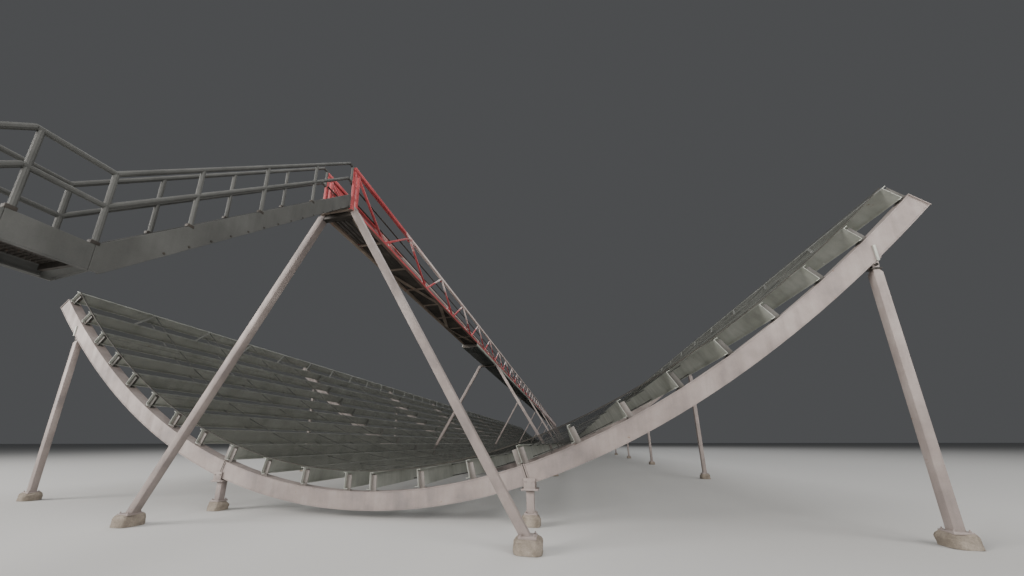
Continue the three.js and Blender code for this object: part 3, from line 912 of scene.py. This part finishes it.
def footing_shape(bm, x, y, half, half_y=None):
    """A rough cast lump: a rounded block, pushed about by a noise of its own place."""
    half_y = half_y or half
    height = FOOTING_HEIGHT
    lump = bmesh.new()
    size = (2 * half - 0.001, 2 * half_y - 0.001, height)
    slab(lump, Matrix.Translation((x, y, height / 2)), size)
    upright = [e for e in lump.edges if abs(e.verts[0].co.z - e.verts[1].co.z) > height / 2]
    bevel(lump, upright, min(half, half_y) * 0.55, 3)
    rim = [e for e in lump.edges if min(v.co.z for v in e.verts) > height - 0.0001]
    bevel(lump, rim, RIM_ROUNDING, 3)
    bmesh.ops.subdivide_edges(lump, edges=lump.edges[:], cuts=2, use_grid_fill=True)
    for vert in lump.verts:
        low = min(vert.co.z / 0.006, 1)
        coarse = noise.noise_vector(vert.co * COARSE_LUMPS) * COARSE_PUSH
        fine = noise.noise_vector(vert.co * FINE_LUMPS) * FINE_PUSH
        vert.co += coarse * low + fine * low
        vert.co.z = min(max(vert.co.z, 0.0), height - 0.0002)
        vert.co.x = min(max(vert.co.x, x - half), x + half)
        vert.co.y = min(max(vert.co.y, y - half_y), y + half_y)
    stamp(bm, template("footing", lump), Matrix())


def rib_parts():
    """The columns, the dark pins with the rib's seams, and the strips of one rib, to stamp."""
    stand, pins, strips = bmesh.new(), bmesh.new(), bmesh.new()
    for side in (-1, 1):
        short_column(stand, side * SHORT_COLUMN_X)
        tall_column(stand, side * TALL_COLUMN_X)
        column_pin(pins, side * TALL_COLUMN_X)
        column_strips(strips, side * TALL_COLUMN_X)
        seam = trough_place(side * SPLICE_ARC, RIB_MIDDLE_OFFSET)
        slab(pins, seam, (0.0019, RIB_WIDTH + 0.0010, RIB_DEPTH + 0.0032))
    return template("stand", stand), template("pins", pins), template("strips", strips)


def ribs():
    rib = rib_template()
    stand, pins, strips = rib_parts()
    all_pins, all_strips = bmesh.new(), bmesh.new()
    for number in range(1, BAYS + 2):
        y = NEAR_RIB_Y + (number - 1) * BAY
        place = Matrix.Translation((0, y, 0))
        node = f"rib_frame_{number:02d}"
        for name, ready in (("curved_rib", rib), ("rib_columns", stand)):
            bm = bmesh.new()
            stamp(bm, ready, place)
            piece(f"{name}_{number:02d}", bm, STEEL, [node])
        stamp(all_pins, pins, place)
        stamp(all_strips, strips, place)
        bm = bmesh.new()
        for side in (-1, 1):
            footing_shape(bm, side * TALL_COLUMN_X, y, 0.0185)
            footing_shape(bm, side * SHORT_COLUMN_X, y, 0.017)
        piece(f"rib_footings_{number:02d}", bm, CONCRETE, [node])
    piece("column_pins_and_seams", all_pins, DARK)
    # The strips take the paler galvanised finish, lighter than the rib they stand on, as a painted
    # highlight
    piece("column_head_strips", all_strips, ZINC)


# Legs of the walkway

CROSSHEAD_DEPTH = 0.008
CROSSHEAD_WIDTH = 0.012
TRUSS_SIDE_CLEAR = 0.0364
EAR_HALF = 0.0008


def leg_shaft(bm, side, y, top):
    """A square leg, cut off level under the truss."""
    shaft = bmesh.new()
    foot = Vector((side * leg_at_height(FOOTING_HEIGHT), y, POST_FOOT_Z))
    head = Vector((side * leg_at_height(top + 0.012), y, top + 0.012))
    bar(shaft, foot, head, LEG_SIZE, LEG_SIZE, X, 0.0016)
    cut = bmesh.ops.bisect_plane(
        shaft, geom=shaft.verts[:] + shaft.edges[:] + shaft.faces[:],
        plane_co=(0, 0, top), plane_no=(0, 0, 1), clear_outer=True,
    )
    rim = [part for part in cut["geom_cut"] if isinstance(part, bmesh.types.BMEdge)]
    bmesh.ops.holes_fill(shaft, edges=rim, sides=0)
    stamp(bm, template("leg", shaft), Matrix())


def leg_ear(bm, side, y, top):
    """The bolted ear up the truss's side, and the bolts through the crosshead."""
    face = side * (TRUSS_SIDE_CLEAR + 0.0010)
    post(bm, (face, y), (EAR_HALF, 0.0068), top - 0.006, top + 0.0105, FINE_EDGE)
    leg_x = side * (leg_at_height(top - 0.004) - 0.002)
    for way in (-1, 1):
        outer_face = (face + side * EAR_HALF, y + way * 0.0040, top + 0.0065)
        bolt(bm, outer_face, side * X, 0.0015, 0.0012)
        leg_face = (leg_x, y + way * (LEG_SIZE / 2 - 0.0002), top - 0.0045)
        bolt(bm, leg_face, way * Y, 0.0016, 0.0010)


def legs():
    for number, y in enumerate(LEG_ROWS_Y, 1):
        node = f"leg_frame_{number}"
        top = (TRUSS_LOW.z if y < HOUSING_LOW.y else HOUSING_LOW.z) - 0.0003
        bm = bmesh.new()
        for side in (-1, 1):
            leg_shaft(bm, side, y, top)
            leg_ear(bm, side, y, top)
            base_plate(bm, side * LEG_FOOT_X, y, 0.0125)
        piece(f"slanted_legs_{number}", bm, STEEL, [node])
        bm = bmesh.new()
        half = (leg_at_height(top), CROSSHEAD_WIDTH / 2)
        post(bm, (0, y), half, top - CROSSHEAD_DEPTH, top - 0.0001, 0.0008)
        piece(f"leg_crosshead_{number}", bm, DARK, [node])
        bm = bmesh.new()
        for side in (-1, 1):
            footing_shape(bm, side * LEG_FOOT_X, y, 0.020)
        piece(f"leg_footings_{number}", bm, CONCRETE, [node])


# Walkway truss, its grating and bracing, and the feed housing below

PANELS = 41
CHORD = 0.008
DIAGONAL = 0.0046
CHORD_EDGE = 0.0010
DIAGONAL_EDGE = 0.0006
TRUSS_START = TRUSS_LOW.y + CHORD / 2
TRUSS_END = TRUSS_HIGH.y - CHORD / 2
TRUSS_PITCH = (TRUSS_END - TRUSS_START) / PANELS
CHORD_LOW = TRUSS_LOW.z + CHORD / 2
CHORD_HIGH = TRUSS_HIGH.z - CHORD / 2
GUSSET_INSET = 0.0036
LOWER_GUSSET = [(-0.010, 0), (0.010, 0), (0.0055, 0.0095), (-0.0055, 0.0095)]
UPPER_GUSSET = [(-0.0055, -0.0095), (0.0055, -0.0095), (0.010, 0), (-0.010, 0)]


def truss_chord(bm, x, z):
    bar(bm, (x, TRUSS_LOW.y, z), (x, TRUSS_HIGH.y, z), CHORD, CHORD, X, CHORD_EDGE)


def truss_bars(bm, x):
    """The top chord, two uprights at each end and the diagonals."""
    truss_chord(bm, x, CHORD_HIGH)
    for y in (TRUSS_START, TRUSS_START + 0.0125, TRUSS_END - 0.0125, TRUSS_END):
        bar(bm, (x, y, CHORD_LOW), (x, y, CHORD_HIGH), CHORD * 0.75, CHORD * 0.75, X, CHORD_EDGE)
    for panel in range(PANELS):
        near = TRUSS_START + panel * TRUSS_PITCH
        foot = (x, near + TRUSS_PITCH / 2, CHORD_LOW)
        for start, end in (
            ((x, near, CHORD_HIGH), foot), (foot, (x, near + TRUSS_PITCH, CHORD_HIGH)),
        ):
            bar(bm, start, end, DIAGONAL, DIAGONAL, X, DIAGONAL_EDGE)


def truss_gussets(bm, x):
    """The plates where the diagonals meet the chords."""
    for panel in range(PANELS):
        near = TRUSS_START + panel * TRUSS_PITCH
        foot = Vector((x, near + TRUSS_PITCH / 2, CHORD_LOW))
        plate(bm, LOWER_GUSSET, 0.0012, basis(Y, Z, X, foot))
        if panel:
            plate(bm, UPPER_GUSSET, 0.0012, basis(Y, Z, X, Vector((x, near, CHORD_HIGH))))


def truss():
    for side, word in SIDES:
        x = side * (TRUSS_HIGH.x - CHORD / 2)
        node = f"truss_side_{word}"
        bm = bmesh.new()
        truss_chord(bm, x, CHORD_LOW)
        # The left bottom chord is brown as painted shade; the right one takes the painted red lamp
        # light
        chord_light_or_shade = BROWN if side < 0 else RED
        piece(f"truss_bottom_chord_{word}", bm, chord_light_or_shade, [node])
        bm = bmesh.new()
        truss_bars(bm, x)
        piece(f"truss_bars_{word}", bm, RED, [node])
        bm = bmesh.new()
        truss_gussets(bm, x - side * GUSSET_INSET)
        piece(f"truss_gussets_{word}", bm, RED_PLATE, [node])
        bm = bmesh.new()
        inner = side * (TRUSS_HIGH.x - CHORD - 0.0022)
        for z in (CHORD_LOW + 0.030, CHORD_LOW + 0.060):
            pipe(bm, (inner, TRUSS_LOW.y, z), (inner, TRUSS_HIGH.y, z), 0.0016, 8)
        piece(f"walkway_rails_{word}", bm, DARK)


GRATING_PITCH = 0.0034
GRATING_DEPTH = 0.0032
GRATING_RUNNER_PITCH = 0.0099


def walkway_grating(low, high):
    """Thin bars across the walkway, joined by runners along it."""
    bm = bmesh.new()
    middle = high.z - GRATING_DEPTH / 2
    for number in range(int((high.y - low.y) / GRATING_PITCH)):
        y = low.y + (number + 0.5) * GRATING_PITCH
        bar(bm, (low.x, y, middle), (high.x, y, middle), 0.0006, GRATING_DEPTH, Y)
    inner = [low.x + GRATING_RUNNER_PITCH * number for number in range(1, 6)]
    for x in (low.x + 0.0006, *inner, high.x - 0.0006):
        bar(bm, (x, low.y, high.z - 0.0012), (x, high.y, high.z - 0.0012), 0.0009, 0.0022, X)
    piece("walkway_grating", bm, DARK, ["walkway_deck"], smooth=False)


FLOOR_BEAM_HALF = 0.0022
BRACING_WIDTH = 0.0110
BRACING_SHEET = 0.0012


def walkway_floor_beams(low, high):
    """Cross beams under the grating, with zig-zag wind bracing below."""
    bm = bmesh.new()
    pitch = (high.y - low.y) / PANELS
    beam_top = high.z - GRATING_DEPTH - 0.0002
    brace_z = TRUSS_LOW.z + 0.0018
    for panel in range(PANELS + 1):
        for share in (0, 0.5):
            y = min(max(low.y + (panel + share) * pitch, low.y + 0.0025), high.y - 0.0025)
            block(
                bm, (low.x, y - FLOOR_BEAM_HALF, TRUSS_LOW.z + 0.0010),
                (high.x, y + FLOOR_BEAM_HALF, beam_top), FINE_EDGE,
            )
        if panel < PANELS:
            side = 1 if panel % 2 else -1
            start = Vector((side * low.x, low.y + panel * pitch, brace_z))
            end = Vector((-side * low.x, low.y + (panel + 1) * pitch, brace_z))
            bar(bm, start, end, BRACING_WIDTH, BRACING_SHEET, X)
    piece("walkway_floor_beams", bm, BROWN, ["walkway_deck"])


GUARD_BARS = 12
GUARD_PITCH = 0.0042


def walkway_end_guard():
    """Close slanting bars between two rails, in the left truss's near end."""
    bm = bmesh.new()
    x = -(TRUSS_HIGH.x - CHORD / 2)
    low, high = TRUSS_LOW.z + 0.040, TRUSS_HIGH.z - 0.006
    for number in range(GUARD_BARS):
        y = TRUSS_LOW.y + 0.018 + number * GUARD_PITCH
        bar(bm, (x, y, low), (x, y + 0.010, high), 0.0014, 0.0022, X)
    for z in (low, TRUSS_LOW.z + 0.066):
        bar(bm, (x, TRUSS_LOW.y + 0.014, z), (x, TRUSS_LOW.y + 0.072, z), 0.0022, 0.0022, X)
    piece("walkway_end_guard", bm, RED_PLATE)


def deck():
    low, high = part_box("walkway_deck")
    walkway_grating(low, high)
    walkway_floor_beams(low, high)
    walkway_end_guard()


HOUSING_SHEET = 0.0016
HOUSING_PANEL = 0.122
FEED_PITCH = 0.030
FEED_HALF = 0.0125
SKIRT_BOLT_PITCH = 0.061


def housing_box(low, high):
    """A long dark box in panels, with a row of square feed panels below."""
    bm = bmesh.new()
    block(
        bm, (low.x + HOUSING_SHEET, low.y + 0.0012, low.z + 0.002),
        (high.x - HOUSING_SHEET, high.y - 0.0012, high.z), 0.0006,
    )
    length = high.y - low.y
    for number in range(1, int(length / HOUSING_PANEL) + 1):
        y = low.y + number * HOUSING_PANEL
        block(
            bm, (low.x + 0.0006, y - 0.0011, low.z + 0.0011),
            (high.x - 0.0006, y + 0.0011, high.z - 0.0004), 0.0002,
        )
    for number in range(int(length / FEED_PITCH)):
        y = low.y + (number + 0.5) * FEED_PITCH
        post(bm, (0, y), (FEED_HALF, FEED_HALF), low.z + 0.0004, low.z + 0.0024)
    piece("feed_housing_box", bm, HOUSING, ["feed_housing"])


def housing_ends(low, high):
    bm = bmesh.new()
    for outer, inward in ((low.y, 1), (high.y, -1)):
        near, far = sorted((outer, outer + inward * HOUSING_SHEET))
        block(
            bm, (low.x + HOUSING_SHEET, near, low.z + 0.0020),
            (high.x - HOUSING_SHEET, far, high.z - 0.0004), 0.0002,
        )
    piece("feed_housing_ends", bm, DARK, ["feed_housing"])


def housing_skirts(low, high):
    """Galvanised strips down both sides of the housing, with a row of bolts."""
    bm = bmesh.new()
    half = HOUSING_SHEET / 2
    for side in (-1, 1):
        x = side * (high.x - half)
        block(bm, (x - half, low.y, low.z + 0.0075), (x + half, high.y, high.z), 0.0002)
        for number in range(int((high.y - low.y) / SKIRT_BOLT_PITCH)):
            y = low.y + (number + 0.5) * SKIRT_BOLT_PITCH
            bolt(bm, (x, y, high.z - 0.0035), side * X, 0.0011, 0.0007)
    piece("feed_housing_skirts", bm, ZINC)


def housing():
    for part in (housing_box, housing_ends, housing_skirts):
        part(HOUSING_LOW, HOUSING_HIGH)


# Access stair

STAIR_HALF_WIDTH = 0.032
STRINGER_SHEET = 0.0024
STRINGER_DEPTH = 0.032
STAIR_SLOPE = 0.95
STAIR_RISE = 0.020
HEAD_LEVEL = 0.0047
HEAD_CUT = 0.004
LANDING_DEPTH = 0.024
LANDING_OVERLAP = 0.008
UPPER_TREADS = 14
LOWER_TREADS = 13
STAIR_NODES = ["stair_upper_flight", "stair_landing", "stair_lower_flight"]


def stringer(bm, side, outline, top_edge, bottom_edge):
    """One channel side plate of the stair, its flanges turned inwards."""
    middle = Vector((side * (STAIR_HALF_WIDTH - STRINGER_SHEET / 2), 0, 0))
    plate(bm, outline, STRINGER_SHEET, basis(Y, Z, X, middle), 0.0002)
    x = side * (STAIR_HALF_WIDTH - 0.0031)
    for (start, end), inward in ((top_edge, -0.0010), (bottom_edge, 0.0010)):
        bar(bm, (x, start[0], start[1] + inward), (x, end[0], end[1] + inward), 0.0058, 0.0016, X)


def stair():
    (_, far, _), (_, near, head_z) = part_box("stair_upper_flight")
    (_, landing_near, _), (_, landing_far, land_z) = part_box("stair_landing")
    (_, lowest_y, _), (_, lower_far, _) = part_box("stair_lower_flight")
    under = land_z - LANDING_DEPTH
    head_under = head_z - STRINGER_DEPTH + HEAD_CUT
    bottom_y = lower_far - (land_z - FOOTING_HEIGHT) / STAIR_SLOPE
    foot_y = lower_far + LANDING_OVERLAP - (under - FOOTING_HEIGHT) / STAIR_SLOPE
    lower_end = under - LANDING_OVERLAP * STAIR_SLOPE
    stringers = bmesh.new()
    for side in (-1, 1):
        stringer(
            stringers, side,
            [(near, head_z), (near - HEAD_LEVEL, head_z), (far, land_z), (far, under),
             (far + LANDING_OVERLAP, under), (near - HEAD_CUT, head_under), (near, head_under)],
            ((near - HEAD_LEVEL, head_z), (far, land_z)),
            ((near - HEAD_CUT, head_under), (far + LANDING_OVERLAP, under)),
        )
        stringer(
            stringers, side,
            [(landing_near, land_z), (landing_far, land_z),
             (landing_far, under), (landing_near, under)],
            ((landing_near, land_z), (landing_far, land_z)),
            ((landing_near, under), (landing_far, under)),
        )
        stringer(
            stringers, side,
            [(lower_far, land_z), (bottom_y, FOOTING_HEIGHT), (foot_y, FOOTING_HEIGHT),
             (lower_far, lower_end)],
            ((lower_far, land_z), (bottom_y, FOOTING_HEIGHT)),
            ((lower_far, lower_end), (foot_y, FOOTING_HEIGHT)),
        )
    treads, marks = bmesh.new(), bmesh.new()
    upper_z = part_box("walkway_deck")[1].z - 0.0005
    stair_flight(treads, marks, near - 0.001, upper_z, UPPER_TREADS)
    stair_flight(treads, marks, lower_far - 0.004, land_z - 0.030, LOWER_TREADS)
    landing_floor(treads, landing_near, landing_far, land_z - 0.011)
    piece("stair_stringers", stringers, STAIR_METAL, STAIR_NODES)
    piece("stair_treads", treads, DARK, STAIR_NODES, smooth=False)
    piece("stair_bolts", marks, DARK)
    footing = bmesh.new()
    footing_end = foot_y + 0.012
    footing_shape(footing, 0, (lowest_y + footing_end) / 2, 0.038, (footing_end - lowest_y) / 2)
    piece("stair_footing", footing, CONCRETE, ["stair_lower_flight"])


def stair_flight(treads, marks, first_y, first_z, count):
    """Treads down a flight, and the bolt heads that hold them, on the stringers' outer faces."""
    for step in range(count):
        y, z = first_y - step * STAIR_RISE / STAIR_SLOPE, first_z - step * STAIR_RISE
        grating_tread(treads, y, z)
        for side in (-1, 1):
            spot = (side * STAIR_HALF_WIDTH, y - 0.004, z - 0.0035)
            bolt(marks, spot, side * X, 0.0012, 0.0008)


TREAD_HALF = STAIR_HALF_WIDTH - 0.006
TREAD_DEPTH = 0.022
LANDING_BARS = 15


def grating_tread(bm, y, z):
    """One tread: edge plates, and bars both ways between them."""
    half, back = TREAD_HALF, y - TREAD_DEPTH
    for at in (y - 0.0006, back + 0.0006):
        bar(bm, (-half, at, z - 0.0015), (half, at, z - 0.0015), 0.0012, 0.003, Y)
    for number in range(1, 7):
        at = y - TREAD_DEPTH * number / 7
        bar(bm, (-half, at, z - 0.0013), (half, at, z - 0.0013), 0.0006, 0.0024, Y)
    for number in range(7):
        x = -half + 2 * half * number / 6
        bar(bm, (x, y, z - 0.0015), (x, back, z - 0.0015), 0.0010, 0.0028, X)


def landing_floor(bm, near, far, top):
    """The landing's grating on two cross bars."""
    half, z = TREAD_HALF, top - 0.0015
    for number in range(LANDING_BARS):
        y = near + (number + 0.5) * (far - near) / LANDING_BARS
        bar(bm, (-half, y, z), (half, y, z), 0.0006, 0.003, Y)
    for x in (-half, -half / 2, 0, half / 2, half):
        bar(bm, (x, near, z), (x, far, z), 0.0009, 0.0024, X)
    for y in (near + 0.002, far - 0.002):
        bar(bm, (-half, y, top - 0.0055), (half, y, top - 0.0055), 0.003, 0.006, Y)


# Handrails: the places along the stair are measured from the near rib
RAIL_HEIGHT = 0.077
MID_RAIL_HEIGHT = 0.039
RAIL_INSET = 0.0023
RAIL_RADIUS = 0.0026
RAIL_POSTS = (-0.266, -0.353, -0.432, -0.501, -0.550, -0.628, -0.703, -0.778, -0.850)
STAIR_HEAD_Y, STAIR_HEAD_Z = -0.177, 0.622
HEAD_BEND_Y = STAIR_HEAD_Y - 0.008
LANDING_NEAR_Y, LANDING_FAR_Y = -0.501, -0.553
LANDING_Z = STAIR_HEAD_Z - (STAIR_HEAD_Y - LANDING_NEAR_Y) * STAIR_SLOPE
RAIL_START_Y = TRUSS_LOW.y - NEAR_RIB_Y - 0.0003 - RAIL_RADIUS


def top_of_stair(y):
    """The height of the stringers' top edge."""
    y = min(y, HEAD_BEND_Y)
    if y >= LANDING_NEAR_Y:
        return STAIR_HEAD_Z - (STAIR_HEAD_Y - y) * STAIR_SLOPE
    if y >= LANDING_FAR_Y:
        return LANDING_Z
    return LANDING_Z - (LANDING_FAR_Y - y) * STAIR_SLOPE


def pipe_handrail(bm, x):
    """Two pipes down the stair, and round posts with ball heads."""
    bends = [RAIL_START_Y, HEAD_BEND_Y, LANDING_NEAR_Y, LANDING_FAR_Y, RAIL_POSTS[-1]]
    for above in (RAIL_HEIGHT - RAIL_RADIUS, MID_RAIL_HEIGHT):
        points = [Vector((x, NEAR_RIB_Y + y, top_of_stair(y) + above)) for y in bends]
        pipe_run(bm, points, RAIL_RADIUS)
    for y in (RAIL_START_Y, *RAIL_POSTS):
        at = NEAR_RIB_Y + y
        low = top_of_stair(y) + (0.0003 if y in RAIL_POSTS else MID_RAIL_HEIGHT)
        high = top_of_stair(y) + RAIL_HEIGHT - RAIL_RADIUS
        pipe(bm, (x, at, low), (x, at, high), RAIL_RADIUS * 0.92)
        ball(bm, (x, at, high), RAIL_RADIUS)


def post_shoes(bm, x):
    """A small block under each post."""
    for y in RAIL_POSTS:
        low = top_of_stair(y - 0.003)
        at = NEAR_RIB_Y + y
        block(
            bm, (x - 0.0026, at - 0.0040, low - 0.0002), (x + 0.0026, at + 0.0026, low + 0.0034),
            0.0004,
        )


def handrails():
    for side, word in SIDES:
        x = side * (STAIR_HALF_WIDTH - RAIL_INSET)
        bm = bmesh.new()
        pipe_handrail(bm, x)
        piece(f"pipe_handrail_{word}", bm, STAIR_METAL, [f"handrail_{word}"])
        bm = bmesh.new()
        post_shoes(bm, x)
        piece(f"rail_post_shoes_{word}", bm, DARK)


# Room, light and camera

FLOOR_SIZE = 240
FLOOR_TONE = (0.50, 0.50, 0.49)
BACKDROP_TONE = (0.72, 0.74, 0.77, 1)
BACKDROP_STRENGTH = 0.11


def room():
    """A pale floor just under the footings, and an even grey backdrop."""
    bpy.ops.mesh.primitive_plane_add(size=FLOOR_SIZE, location=(0, 0, -0.0005))
    floor = bpy.context.object
    floor.name = "floor"
    finish = Finish("pale_floor")
    finish.look({"Base Color": FLOOR_TONE, "Roughness": 0.9})
    floor.data.materials.append(finish.material)
    world = bpy.data.worlds.new("studio")
    world.use_nodes = True
    back = world.node_tree.nodes["Background"]
    back.inputs["Color"].default_value = BACKDROP_TONE
    back.inputs["Strength"].default_value = BACKDROP_STRENGTH
    bpy.context.scene.world = world


# Soft lamps: name, place, target, width and length, power and colour
WARM = (1.0, 0.96, 0.92)
LAMPS = (
    ("key", (2.6, -10.5, 3.6), (0, -4.4, 0.3), (2.7, 2.7), 175, WARM),
    ("side_left", (-4.0, -7.8, 2.0), (0.9, -4.8, 0.4), (2.6, 2.6), 400, WARM),
    ("side_right", (4.0, -7.0, 2.2), (-0.9, -3.8, 0.4), (2.6, 2.6), 150, (1.0, 0.97, 0.94)),
    ("top", (0, 0.01, 6.5), (0, 0, 0), (5.0, 14.0), 400, (1, 1, 1)),
)


def soft_light(name, place, target, size, power, color):
    """A flat soft lamp, turned to its target."""
    data = bpy.data.lights.new(name, "AREA")
    data.shape = "RECTANGLE"
    data.size, data.size_y = size
    data.energy = power
    data.color = color
    light = bpy.data.objects.new(name, data)
    turn = (Vector(target) - Vector(place)).to_track_quat("-Z", "Y")
    light.matrix_world = Matrix.Translation(place) @ turn.to_matrix().to_4x4()
    bpy.context.scene.collection.objects.link(light)


def lights():
    for lamp in LAMPS:
        soft_light(*lamp)


# The camera stands where the photograph was taken. A straight lens stands in for its fisheye,
# so the place, angles, lens and shift are the ones that put the main points nearest to theirs.
IMAGE_WIDTH = 1024
CAMERA_PLACE = (0.4300, -5.3425, 0.1450)
CAMERA_YAW, CAMERA_PITCH, CAMERA_ROLL = -0.225, 0.258, -0.001
CAMERA_LENS_PIXELS = 348.4
CAMERA_SHIFT_PIXELS = (23.9, 62.8)


def camera():
    level = math.cos(CAMERA_PITCH)
    forward = Vector((
        math.sin(CAMERA_YAW) * level, math.cos(CAMERA_YAW) * level, math.sin(CAMERA_PITCH),
    ))
    right = Vector((math.cos(CAMERA_YAW), -math.sin(CAMERA_YAW), 0))
    up = right.cross(forward)
    turned_right = right * math.cos(CAMERA_ROLL) + up * math.sin(CAMERA_ROLL)
    turned_up = up * math.cos(CAMERA_ROLL) - right * math.sin(CAMERA_ROLL)
    data = bpy.data.cameras.new("camera")
    data.sensor_width = 36
    data.lens = CAMERA_LENS_PIXELS / IMAGE_WIDTH * data.sensor_width
    data.shift_x = CAMERA_SHIFT_PIXELS[0] / IMAGE_WIDTH
    data.shift_y = CAMERA_SHIFT_PIXELS[1] / IMAGE_WIDTH
    data.clip_start = 0.01
    data.clip_end = 400
    view = bpy.data.objects.new("camera", data)
    view.matrix_world = basis(turned_right, turned_up, -forward, Vector(CAMERA_PLACE))
    bpy.context.scene.collection.objects.link(view)
    bpy.context.scene.camera = view


reflector()
mesh_edges()
purlins()
bridging()
rim_braces()
cleats()
ribs()
legs()
truss()
deck()
housing()
stair()
handrails()
room()
lights()
camera()
